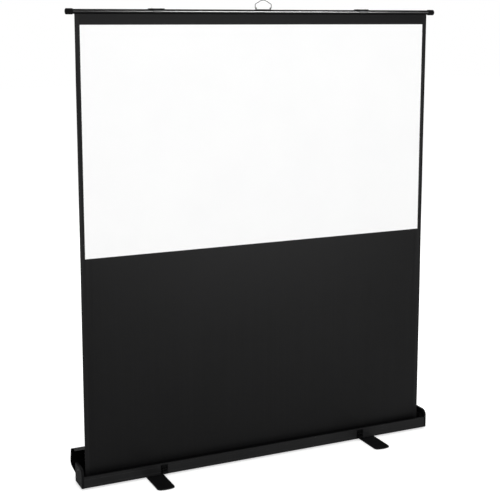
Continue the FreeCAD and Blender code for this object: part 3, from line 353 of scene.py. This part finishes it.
def spring_steel(name):
    """Close-wound oiled wire: the turns are a ribbed bump along the spring, with painted shade
    darkening the grooves between them.
    """
    t = Tree(name)
    turns = t.wave(SPRING_SCALE, "X")
    t.set(
        # Darker between the turns: painted shade in the grooves.
        color=t.blend(turns, (0.06, 0.058, 0.055), (0.3, 0.29, 0.28)), metal=1.0,
        rough=t.spread(t.noise(200.0), 0.28, 0.45),
    )
    t.bump(turns, strength=0.9, distance=0.0006)
    return t.material


def plain_tube(name):
    """Bare drawn aluminium with die lines."""
    t = Tree(name)
    lines = t.noise(detail=4.0, rough=0.6, place=t.mapped((3.0, 700.0, 700.0)))
    t.set(
        color=t.blend(lines, (0.42, 0.42, 0.43), (0.62, 0.62, 0.63)), metal=1.0,
        rough=t.spread(lines, 0.24, 0.4),
    )
    t.bump(lines, strength=0.12, distance=0.0002)
    return t.material


def weave(t, strength):
    """A plain weave's bump: two crossed sets of threads with a little slub."""
    threads = t.combine(t.wave(WEAVE_SCALE, "X"), t.wave(WEAVE_SCALE, "Z"), "MULTIPLY")
    slub = t.noise(rough=0.6, place=t.mapped((900.0, 900.0, 60.0)))
    height = t.combine(threads, t.span(slub, -0.35, 0.35), "ADD")
    t.bump(height, strength, distance=0.00012)
    return height


def white_screen(name):
    """Matt white projection surface: a fine weave under a soft coating."""
    t = Tree(name)
    cloud = t.noise(3.0, rough=0.5)
    height = weave(t, 0.16)
    tone = t.blend(
        t.span(cloud, 0.0, 1.0, start=0.35, end=0.65),
        (0.925, 0.925, 0.925), (0.94, 0.94, 0.938),
    )
    t.set(
        color=t.blend(t.span(height, 0.0, 0.35, start=0.2, end=1.1), tone, (0.90, 0.90, 0.90)),
        rough=t.span(cloud, 0.86, 0.95), specular=0.1, sheen=0.05, sheen_rough=0.6,
    )
    return t.material


def black_screen(name, dark=0.0022, light=0.0034, streak=0.35):
    """Matt black fabric: faint upright streaks, and a seam and a lighter strip at each side, the
    strip a painted sheen from the waves at the edges.
    """
    t = Tree(name)
    streaks = t.noise(place=t.mapped((150.0, 1.0, 0.9)))
    cloud = t.noise(2.2, detail=4.0, rough=0.6)
    first, second = shades(dark, light)

    def lighter(times):
        return tuple(part * times for part in second)

    tone = t.blend(t.spread(cloud), first, second)
    tone = t.blend(t.span(streaks, 0.0, streak, start=0.45, end=0.8), tone, lighter(1.9))
    across = t.off_middle("X")
    side_strip = t.span(across, 0.0, 1.0, HALF_FIELD, HALF_FIELD + 0.001)
    seam_end = t.span(across, 1.0, 0.0, HALF_FIELD + 0.0012, HALF_FIELD + 0.0022)
    seam = t.combine(seam_end, side_strip, "MULTIPLY")
    # The side strips are painted lighter: painted sheen standing in for the light on the waving
    # side edges.
    tone = t.blend(t.combine(side_strip, 0.55, "MULTIPLY"), tone, lighter(2.4))
    tone = t.blend(t.combine(seam, 0.8, "MULTIPLY"), tone, (0.001, 0.001, 0.001))
    t.set(color=tone, rough=t.spread(streaks, 0.35, 0.43), specular=0.07)
    weave(t, 0.22)
    return t.material


LOOKS = {
    "black_housing": extruded_coat("housing coating", 0.0035, 0.006),
    "black_plastic": moulded("black moulded plastic", 0.003, 0.0052, (0.62, 0.76), specular=0.04),
    "black_foot": powder_coat("foot powder coat", 0.0025, 0.004, 0.10, (0.40, 0.52)),
    # The lid gets the housing's coating painted darker: painted shade from the screen above it.
    "lid": extruded_coat("lid coating with painted shade", 0.0012, 0.0022, 0.03),
    "clip_steel": powder_coat("clip coating", 0.0025, 0.0045, 0.036),
    "latch_steel": powder_coat("latch coating", 0.0010, 0.0022, 0.03, (0.34, 0.46), 800.0),
    "black_bar": gloss_tube("bar gloss coating"),
    "black_steel": powder_coat("pressed steel coating", 0.006, 0.010, 0.35),
    "zinc_steel": zinc_plated("zinc plating"),
    "chrome_wire": chromed("chrome wire"),
    "pad_rubber": rubber("pad rubber"),
    "spring_steel": spring_steel("spring steel"),
    "nylon": moulded("natural nylon", 0.55, 0.66, (0.35, 0.5), 900.0),
    "white_fabric": white_screen("white screen surface"),
    "black_fabric": black_screen("black screen fabric"),
    "cloth_back": black_screen("blackout coating", 0.007, 0.011, 0.2),
    "roller_tube": plain_tube("roller tube aluminium"),
    "rising_right": anodised("anodised rising right", ARM_SLOPE),
    "rising_left": anodised("anodised rising left", -ARM_SLOPE),
}

# The nodes whose look isn't that of their material slot.
OWN_LOOKS = {
    "lid_shell": "lid", "arm_clips": "clip_steel", "ring_saddle": "clip_steel",
    "left_lower_arm": "rising_right", "right_upper_arm": "rising_right",
    "left_upper_arm": "rising_left", "right_lower_arm": "rising_left",
    "latch_base_plates": "latch_steel", "latch_keepers": "latch_steel",
    "left_latch_lever": "latch_steel", "right_latch_lever": "latch_steel",
}


def dress(obj, *looks):
    obj.data.materials.clear()
    for look in looks:
        obj.data.materials.append(LOOKS[look])


slot_of = {part["node"]: part["material_slot"] for part in frame["record"]["subparts"]}
for name, node in nodes.items():
    dress(node, OWN_LOOKS.get(name, slot_of[name]))

# ---------------------------------------------------------------- mesh helpers

NO_RADIUS = 1e-9


def mesh_from(name, corners, faces):
    mesh = bpy.data.meshes.new(name)
    mesh.from_pydata([tuple(corner) for corner in corners], [], faces)
    mesh.validate()
    mesh.update()
    return mesh


def smoothed(mesh, angle):
    """Shades a mesh smooth, apart from edges sharper than the angle."""
    for polygon in mesh.polygons:
        polygon.use_smooth = True
    mesh.set_sharp_from_angle(angle=math.radians(angle))


def piece(name, mesh, body):
    """A visible object that rides on a body."""
    obj = bpy.data.objects.new(name, mesh)
    scene.collection.objects.link(obj)
    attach(obj, body)
    return obj


def circle(radius, sides):
    """The points of a circle around +Z, as (x, y)."""
    angles = [2 * math.pi * k / sides for k in range(sides)]
    return [(radius * math.cos(angle), radius * math.sin(angle)) for angle in angles]


def tube(name, path, radius, sides=20):
    """A closed tube along a path of points, by parallel transport of its ring."""
    heading = (path[1] - path[0]).normalized()
    side = heading.orthogonal().normalized()
    corners, faces = [], []
    for i, at in enumerate(path):
        ahead = path[min(i + 1, len(path) - 1)] - path[max(i - 1, 0)]
        ahead.normalize()
        side = (heading.rotation_difference(ahead) @ side).normalized()
        heading = ahead
        up = heading.cross(side)
        corners += [at + (side * a + up * b) * radius for a, b in circle(1.0, sides)]
    for i in range(len(path) - 1):
        for k in range(sides):
            a, b = i * sides + k, i * sides + (k + 1) % sides
            faces.append((a, b, b + sides, a + sides))
    faces.append(tuple(range(sides))[::-1])
    last = (len(path) - 1) * sides
    faces.append(tuple(last + k for k in range(sides)))
    return mesh_from(name, corners, faces)


def rounded(corners, bend, steps=8):
    """A path with each inner corner rounded within a bend's length of it."""
    points = [Vector(corner) for corner in corners]
    path = [points[0]]
    for before, here, after in zip(points, points[1:], points[2:]):
        start = here + (before - here).normalized() * bend
        end = here + (after - here).normalized() * bend
        for k in range(steps + 1):
            s = k / steps
            path.append(start * (1 - s) ** 2 + here * (2 * s * (1 - s)) + end * s ** 2)
    return path + [points[-1]]


def spun(profile, sides):
    """Corners and faces of an (along, radius) profile turned about +Z. Radius 0 closes an end."""
    corners, faces, rings = [], [], []
    for along, radius in profile:
        start = len(corners)
        if radius < NO_RADIUS:
            corners.append(Vector((0, 0, along)))
        else:
            corners += [Vector((x, y, along)) for x, y in circle(radius, sides)]
        rings.append(list(range(start, len(corners))))
    for first, second in zip(rings, rings[1:]):
        for k in range(sides):
            n = (k + 1) % sides
            if len(first) == 1:
                faces.append((first[0], second[n], second[k]))
            elif len(second) == 1:
                faces.append((first[k], first[n], second[0]))
            else:
                faces.append((first[k], first[n], second[n], second[k]))
    return corners, faces


def facing(at, direction):
    """A matrix that takes +Z to a direction, at a place."""
    turn = Vector(UPWARD).rotation_difference(Vector(direction)).to_matrix().to_4x4()
    return Matrix.Translation(Vector(at)) @ turn


def placed(shapes):
    """Joins (corners, faces, matrix) shapes into one list of corners and faces."""
    corners, faces = [], []
    for own, own_faces, matrix in shapes:
        start = len(corners)
        corners += [matrix @ corner for corner in own]
        faces += [tuple(start + k for k in face) for face in own_faces]
    return corners, faces


def fitting(name, shapes, body, slot, *replaced, smooth=35, look=None):
    """One piece of several (corners, faces, matrix) shapes, its normals turned outwards."""
    mesh = mesh_from(name, *placed(shapes))
    work = bmesh.new()
    work.from_mesh(mesh)
    bmesh.ops.recalc_face_normals(work, faces=work.faces)
    work.to_mesh(mesh)
    work.free()
    mesh.update()
    obj = piece(name, mesh, body)
    smoothed(mesh, smooth)
    dress(obj, look or slot)
    if replaced:
        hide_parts(*replaced)


def fittings(name, shape, places, body, slot, *replaced, **more):
    """One piece of many alike shapes. places are (point, outward direction)."""
    shapes = [(*shape, facing(at, way)) for at, way in places]
    fitting(name, shapes, body, slot, *replaced, **more)


# ---------------------------------------------------------------- fabric

# The cloth is flat up to this half width, and waves a little beyond it, at its free side edges.
CALM_HALF_WIDTH = 0.80
# The waves grow over a length above the roller and fade over one below the calm top.
LOW_FADE, HIGH_FADE, CALM_TOP = 0.12, 0.25, 0.07
# An edge stands off a little, ripples across and bows along. A bow is (rate, phase, size).
STAND_OFF = 0.0013
RIPPLE_RATE, RIPPLE_SIZE, SWAY_RATE, SWAY = 210.0, 0.0006, 2.3, 1.7
BOWS = ((5.1, 0.9, 0.0006), (11.7, 2.1, 0.0003))
# a small tolerance for picking the grid's rows between two heights
ROW_MARGIN = 1e-6


def stretch(start, end, count):
    return [start + (end - start) * k / count for k in range(count)]


across_lines = (
    stretch(-HALF_FABRIC, -HALF_FIELD, 10) + stretch(-HALF_FIELD, -CALM_HALF_WIDTH, 10)
    + stretch(-CALM_HALF_WIDTH, CALM_HALF_WIDTH, 32) + stretch(CALM_HALF_WIDTH, HALF_FIELD, 10)
    + stretch(HALF_FIELD, HALF_FABRIC, 10) + [HALF_FABRIC]
)
up_lines = (
    stretch(SHEET_BASE, FIELD_BASE, 60) + stretch(FIELD_BASE, FIELD_TOP, 60)
    + stretch(FIELD_TOP, SHEET_TOP, 8) + [SHEET_TOP]
)


def drift(x, z):
    """How far the cloth stands behind its plane: slight waves near the free side edges."""
    edge = max(0.0, (abs(x) - CALM_HALF_WIDTH) / (HALF_FABRIC - CALM_HALF_WIDTH))
    above, below = z - SHEET_BASE, SHEET_TOP - CALM_TOP - z
    share = max(0.0, min(1.0, above / LOW_FADE, below / HIGH_FADE))
    side = 1.0 if x > 0 else -1.0
    sway = SWAY * math.sin(z * SWAY_RATE + side)
    ripple = math.sin(abs(x) * RIPPLE_RATE + sway) * RIPPLE_SIZE
    bow = sum(math.sin(z * rate + side * phase) * size for rate, phase, size in BOWS)
    return share * edge ** 1.5 * (STAND_OFF + ripple + bow)


def cloth(name, low, high, slot, *replaced):
    """A thin two-sided sheet of the grid between two heights. The field's front is white."""
    looks = ("white_fabric", "black_fabric", "cloth_back")
    white, black, back = range(len(looks))
    rows = [j for j, z in enumerate(up_lines) if low - ROW_MARGIN < z < high + ROW_MARGIN]
    last_i, last_j = len(across_lines) - 1, rows[-1]
    corners, faces, face_looks, number = [], [], [], {}

    def corner(i, j, behind):
        key = (i, j, behind)
        if key not in number:
            number[key] = len(corners)
            x, z = across_lines[i], up_lines[j]
            face_y = SHEET_Y + drift(x, z) + (HALF_THICKNESS if behind else -HALF_THICKNESS)
            corners.append((x, face_y, z))
        return number[key]

    for i in range(last_i):
        for j in rows[:-1]:
            ring = ((i, j), (i + 1, j), (i + 1, j + 1), (i, j + 1))
            x = (across_lines[i] + across_lines[i + 1]) / 2
            z = (up_lines[j] + up_lines[j + 1]) / 2
            faces.append(tuple(corner(a, b, False) for a, b in ring))
            in_field = abs(x) < HALF_FIELD and FIELD_BASE < z < FIELD_TOP
            face_looks.append(white if in_field else black)
            faces.append(tuple(corner(a, b, True) for a, b in reversed(ring)))
            face_looks.append(back)
            for at_edge, a, b in (
                (j == rows[0], ring[0], ring[1]), (i == last_i - 1, ring[1], ring[2]),
                (j == last_j - 1, ring[2], ring[3]), (i == 0, ring[3], ring[0]),
            ):
                if at_edge:
                    faces.append((
                        corner(*b, False), corner(*a, False), corner(*a, True), corner(*b, True),
                    ))
                    face_looks.append(back)
    mesh = mesh_from(name, corners, faces)
    obj = piece(name, mesh, "base")
    dress(obj, *looks)
    for polygon, look in zip(mesh.polygons, face_looks):
        polygon.material_index = look
    smoothed(mesh, 40)
    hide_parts(*replaced)
    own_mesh(obj)


cloth("picture_cloth", FIELD_BASE, SHEET_TOP, "white_fabric", "picture_field", "dark_border")
cloth("drop_cloth", SHEET_BASE, FIELD_BASE, "black_fabric", "dark_drop")

# ---------------------------------------------------------------- pull ring and latch loops


def wire(name, path, radius, body, look, replaced):
    mesh = tube(name, path, radius)
    obj = piece(name, mesh, body)
    smoothed(mesh, 50)
    dress(obj, look)
    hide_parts(replaced)


ring_half = [
    (RING_PIN_END, 0.0), (RING_HALF_WIDTH, 0.0), (RING_HALF_WIDTH, RING_SIDE),
    (RING_TOP_HALF_WIDTH, RING_CORNER),
]
ring_outline = ring_half + [(0.0, RING_CROWN)] + [(-x, rise) for x, rise in reversed(ring_half)]
wire(
    "ring_wire",
    rounded([(x, SHEET_Y, RING_PIVOT_Z + rise) for x, rise in ring_outline], RING_BEND),
    RING_WIRE, "pull_ring", "chrome_wire", "pull_ring",
)
for side, word in SIDES:
    x, top_y, top_z = LATCH_X * side, LOOP_Y + LOOP_LEAN, LOOP_Z + LOOP_HEIGHT
    loop_path = rounded([
        (x - LOOP_PIN_END, LOOP_Y, LOOP_Z), (x - LOOP_HALF_WIDTH, LOOP_Y, LOOP_Z),
        (x - LOOP_HALF_WIDTH, top_y, top_z), (x + LOOP_HALF_WIDTH, top_y, top_z),
        (x + LOOP_HALF_WIDTH, LOOP_Y, LOOP_Z), (x + LOOP_PIN_END, LOOP_Y, LOOP_Z),
    ], LOOP_BEND)
    wire(
        f"{word}_loop_wire", loop_path, LOOP_WIRE, f"{word}_latch_loop",
        "latch_steel", f"{word}_latch_loop",
    )

# ---------------------------------------------------------------- fasteners


def cross_head(radius, height):
    """A pan head with a cross recess, its foot at z = 0."""
    rings, sides = 11, 48
    recess_reach, recess_half, recess_depth = radius * 0.55, radius * 0.15, height * 0.55
    rim_drop, rim_share = 0.45, 0.999

    def in_recess(x, y):
        along, across = max(x, y), min(x, y)
        return along < recess_reach and across < recess_half

    def rise(x, y):
        out = math.hypot(x, y) / radius
        dome = height * (1 - rim_drop * out ** 4) if out < rim_share else height * rim_drop
        return dome - (recess_depth if in_recess(abs(x), abs(y)) else 0)

    corners, faces = [Vector((0, 0, rise(0, 0)))], []
    for i in range(1, rings + 1):
        corners += [Vector((x, y, rise(x, y))) for x, y in circle(radius * i / rings, sides)]
    corners += [Vector((x, y, 0)) for x, y in circle(radius, sides)]
    for k in range(sides):
        faces.append((0, 1 + k, 1 + (k + 1) % sides))
    for i in range(rings):
        for k in range(sides):
            a, b = 1 + i * sides + k, 1 + i * sides + (k + 1) % sides
            faces.append((a, a + sides, b + sides, b))
    foot = len(corners) - sides
    faces.append(tuple(foot + k for k in range(sides))[::-1])
    return corners, faces


def hex_nut(radius, height, bore):
    """A chamfered hexagon nut on z = 0, with a collar and the threaded end of its bolt."""
    levels = ((0.0, 0.93), (height * 0.08, 1.0), (height * 0.62, 1.0), (height * 0.72, 0.9))
    corners, faces, sides = [], [], 6
    for z, share in levels:
        corners += [Vector((x, y, z)) for x, y in circle(radius * share, sides)]
    for i in range(len(levels) - 1):
        for k in range(sides):
            a, b = i * sides + k, i * sides + (k + 1) % sides
            faces.append((a, b, b + sides, a + sides))
    faces.append(tuple(range(sides))[::-1])
    faces.append(tuple(len(corners) - sides + k for k in range(sides)))
    collar = spun([
        (height * 0.70, 0.0), (height * 0.70, radius * 0.80), (height * 0.90, radius * 0.78),
        (height * 0.96, radius * 0.70), (height * 0.96, bore * 1.04),
        (height * 0.72, bore * 1.04), (height * 0.72, 0.0),
    ], 36)
    thread, z = [], height * 0.60
    thread_pitch = 0.0008
    while z < height * 0.94:
        thread += [(z, bore * 0.90), (z + thread_pitch / 2, bore)]
        z += thread_pitch
    bolt_end = spun(
        [(height * 0.3, 0.0), (height * 0.3, bore * 0.9)] + thread
        + [(height, bore * 0.8), (height, 0.0)], 28,
    )
    here = Matrix()
    return placed([(corners, faces, here), (*collar, here), (*bolt_end, here)])


def riveted_pin(length):
    """A pivot pin along +Z from z = 0. Its low domed head has a spun dimple."""
    radius, head_radius, head = PIN_RADIUS, PIN_HEAD_RADIUS, PIN_HEAD_DEPTH
    return spun([
        (0.0, 0.0), (0.0, radius * 0.86), (radius * 0.14, radius), (length, radius),
        (length, head_radius * 0.97), (length + head * 0.12, head_radius),
        (length + head * 0.45, head_radius * 0.97), (length + head * 0.80, head_radius * 0.80),
        (length + head * 0.97, head_radius * 0.55), (length + head, head_radius * 0.34),
        (length + head * 0.72, head_radius * 0.22), (length + head * 0.68, 0.0),
    ], 40)


def thin_washer(inner, outer, thickness):
    edge = thickness * 0.2
    return spun([
        (0.0, inner), (0.0, outer - edge), (edge, outer), (thickness - edge, outer),
        (thickness, outer - edge), (thickness, inner), (0.0, inner),
    ], 44)


screw = cross_head(SCREW_RADIUS, SCREW_HEIGHT)
fittings(
    "cap_screw_heads", screw,
    [((CAP_FACE_X * side, y, z), (side, 0, 0)) for side, _ in SIDES for y, z in CAP_SCREWS],
    "base", "black_steel", "end_cap_screws",
)
fittings(
    "clip_screw_heads", screw,
    [((PIVOT_X * side + CLIP_SCREW_SPREAD * end, SHEET_Y, CLIP_CROWN_Z), UPWARD)
     for side, _ in SIDES for end in (-1, 1)],
    "top_bar", "zinc_steel", "clip_screws",
)

washer = thin_washer(inner=0.00415, outer=0.0098, thickness=0.0009)
WASHER_GAP = 0.00005
base_pins, top_pins = [], []
for side, word in SIDES:
    front, layer = BRACKET_FRONTS[word], ARM_LAYERS[word]
    upper = layer + ARM_STEP
    base_pins.append((
        *riveted_pin(layer + ARM_DEPTH + PIN_SLIDE - front),
        facing((PIVOT_X * side, front, BASE_PIVOT_Z), BACKWARD),
    ))
    top_pins.append((
        *riveted_pin(upper + ARM_DEPTH + PIN_SLIDE - CLIP_FACE),
        facing((PIVOT_X * side, CLIP_FACE, TOP_PIVOT_Z), BACKWARD),
    ))
    fittings(
        f"{word}_elbow_rivet", riveted_pin(ARM_STEP + ARM_DEPTH + PIN_SLIDE),
        [((-ELBOW_X * side, layer, ELBOW_Z), BACKWARD)],
        f"{word}_lower_arm", "zinc_steel", f"{word}_elbow_pin", smooth=40,
    )
    fittings(
        f"{word}_elbow_washer", washer,
        [((-ELBOW_X * side, layer + ARM_DEPTH + WASHER_GAP, ELBOW_Z), BACKWARD)],
        f"{word}_lower_arm", "zinc_steel", smooth=40, look="nylon",
    )
fitting("base_pivot_rivets", base_pins, "base", "zinc_steel", "base_pivot_pins", smooth=40)
fitting("top_pivot_rivets", top_pins, "top_bar", "zinc_steel", "top_pivot_pins", smooth=40)

fittings(
    "foot_nuts", hex_nut(NUT_RADIUS, NUT_HEIGHT, BOLT_RADIUS),
    [((FOOT_X * side, 0, NUT_Z), UPWARD) for side, _ in SIDES],
    "base", "zinc_steel", "foot_lock_nuts", smooth=30,
)
fittings(
    "bracket_screw_heads", screw,
    [((PIVOT_X * side + BRACKET_SCREW_SPREAD * end,
       BRACKET_FRONTS[word] + BRACKET_SCREW_BACK, BRACKET_SCREW_Z), UPWARD)
     for side, word in SIDES for end in (-1, 1)],
    "base", "zinc_steel", "arm_bracket_screws",
)
latch_rivet = spun([
    (0.0, 0.0), (0.0, 0.0019), (0.0003, 0.0019), (0.0007, 0.0014), (0.0009, 0.0007),
    (0.0009, 0.0),
], 24)
RIVET_SPREAD, RIVET_Y, RIVET_HEIGHTS = 0.0145, -0.0532, (0.0165, 0.0515)
fittings(
    "latch_rivets", latch_rivet,
    [((LATCH_X * side + RIVET_SPREAD * end, RIVET_Y, z), FORWARD)
     for side, _ in SIDES for end in (-1, 1) for z in RIVET_HEIGHTS],
    "base", "black_steel", smooth=50, look="latch_steel",
)

# ---------------------------------------------------------------- floor and background

WHITE = (1, 1, 1, 1)
FLOOR_HALF_SIZE, FLOOR_TONE, FLOOR_GLOW = 30.0, 0.82, 0.52
AMBIENT, BACKDROP = 0.62, 1.0


def plain_node(tree, kind, **values):
    """A node with the named inputs set."""
    node = tree.nodes.new("ShaderNode" + kind)
    for key, value in values.items():
        node.inputs[key].default_value = value
    return node


def either(tree, first, second):
    """The larger of two sockets' values."""
    node = tree.nodes.new("ShaderNodeMath")
    node.operation = "MAXIMUM"
    tree.links.new(first, node.inputs[0])
    tree.links.new(second, node.inputs[1])
    return node.outputs[0]


def looked_at(tree, *rays):
    """1 where one of the named kinds of ray arrives, and 0 elsewhere."""
    path = tree.nodes.new("ShaderNodeLightPath")
    seen = path.outputs[rays[0]]
    for ray in rays[1:]:
        seen = either(tree, seen, path.outputs[ray])
    return seen


def pale_floor():
    """Pale and matt. What looks straight at it gets a little glow, so that it ends in white."""
    material = bpy.data.materials.new("pale floor")
    material.use_nodes = True
    tree = material.node_tree
    tree.nodes.clear()
    matt = plain_node(tree, "BsdfDiffuse", Color=(FLOOR_TONE, FLOOR_TONE, FLOOR_TONE, 1))
    glow = plain_node(tree, "Emission", Color=WHITE)
    strength = tree.nodes.new("ShaderNodeMath")
    strength.operation = "MULTIPLY"
    tree.links.new(looked_at(tree, "Is Camera Ray", "Is Glossy Ray"), strength.inputs[0])
    strength.inputs[1].default_value = FLOOR_GLOW
    tree.links.new(strength.outputs[0], glow.inputs["Strength"])
    both = tree.nodes.new("ShaderNodeAddShader")
    tree.links.new(matt.outputs[0], both.inputs[0])
    tree.links.new(glow.outputs[0], both.inputs[1])
    out = tree.nodes.new("ShaderNodeOutputMaterial")
    tree.links.new(both.outputs[0], out.inputs[0])
    return material


def studio():
    """White where it is looked at, and a softer light on everything else."""
    world = bpy.data.worlds.new("studio")
    world.use_nodes = True
    tree = world.node_tree
    tree.nodes.clear()
    seen = looked_at(tree, "Is Camera Ray", "Is Glossy Ray", "Is Transmission Ray")
    choose = tree.nodes.new("ShaderNodeMixShader")
    tree.links.new(seen, choose.inputs[0])
    for place, strength in ((1, AMBIENT), (2, BACKDROP)):
        light = plain_node(tree, "Background", Color=WHITE, Strength=strength)
        tree.links.new(light.outputs[0], choose.inputs[place])
    out = tree.nodes.new("ShaderNodeOutputWorld")
    tree.links.new(choose.outputs[0], out.inputs[0])
    return world


low, high = -FLOOR_HALF_SIZE, FLOOR_HALF_SIZE
floor_corners = [(low, low, 0), (high, low, 0), (high, high, 0), (low, high, 0)]
floor = bpy.data.objects.new("floor", mesh_from("floor", floor_corners, [(0, 1, 2, 3)]))
scene.collection.objects.link(floor)
floor.data.materials.append(pale_floor())
scene.world = studio()

# ---------------------------------------------------------------- lamps


def lamp(name, at, towards, width, height, power):
    data = bpy.data.lights.new(name, "AREA")
    data.shape = "RECTANGLE"
    data.size, data.size_y, data.energy = width, height, power
    obj = bpy.data.objects.new(name, data)
    scene.collection.objects.link(obj)
    obj.location = at
    obj.rotation_euler = (Vector(towards) - Vector(at)).to_track_quat("-Z", "Y").to_euler()
    return obj


MIDDLE = (0.0, 0.0, 1.0)
lamp("key", (-0.6, -7.6, 4.4), MIDDLE, 4.0, 2.4, 238.0)
lamp("overhead", (0.0, 0.4, 6.0), MIDDLE, 4.5, 4.5, 90.0)
lamp("rear fill", (2.0, 5.6, 4.4), MIDDLE, 3.6, 2.2, 130.0)

# These two only show in gloss. The first gives the drop its soft gradient, and the second draws
# the bright line along the bar.
front = lamp("front gloss", (2.45, -6.2, 0.7), (0.0, 0.0, 1.3), 2.4, 2.0, 220.0)
strip = lamp("strip for the bar", (1.75, -3.6, 2.85), (1.75, 0.0, 2.85), 1.9, 0.8, 3400.0)
for light in (front, strip):
    light.visible_diffuse = False
lit_by_strip = bpy.data.collections.new("lit by the strip")
for name in ("top_bar", "arm_clips", "ring_saddle"):
    lit_by_strip.objects.link(nodes[name])
strip.light_linking.receiver_collection = lit_by_strip
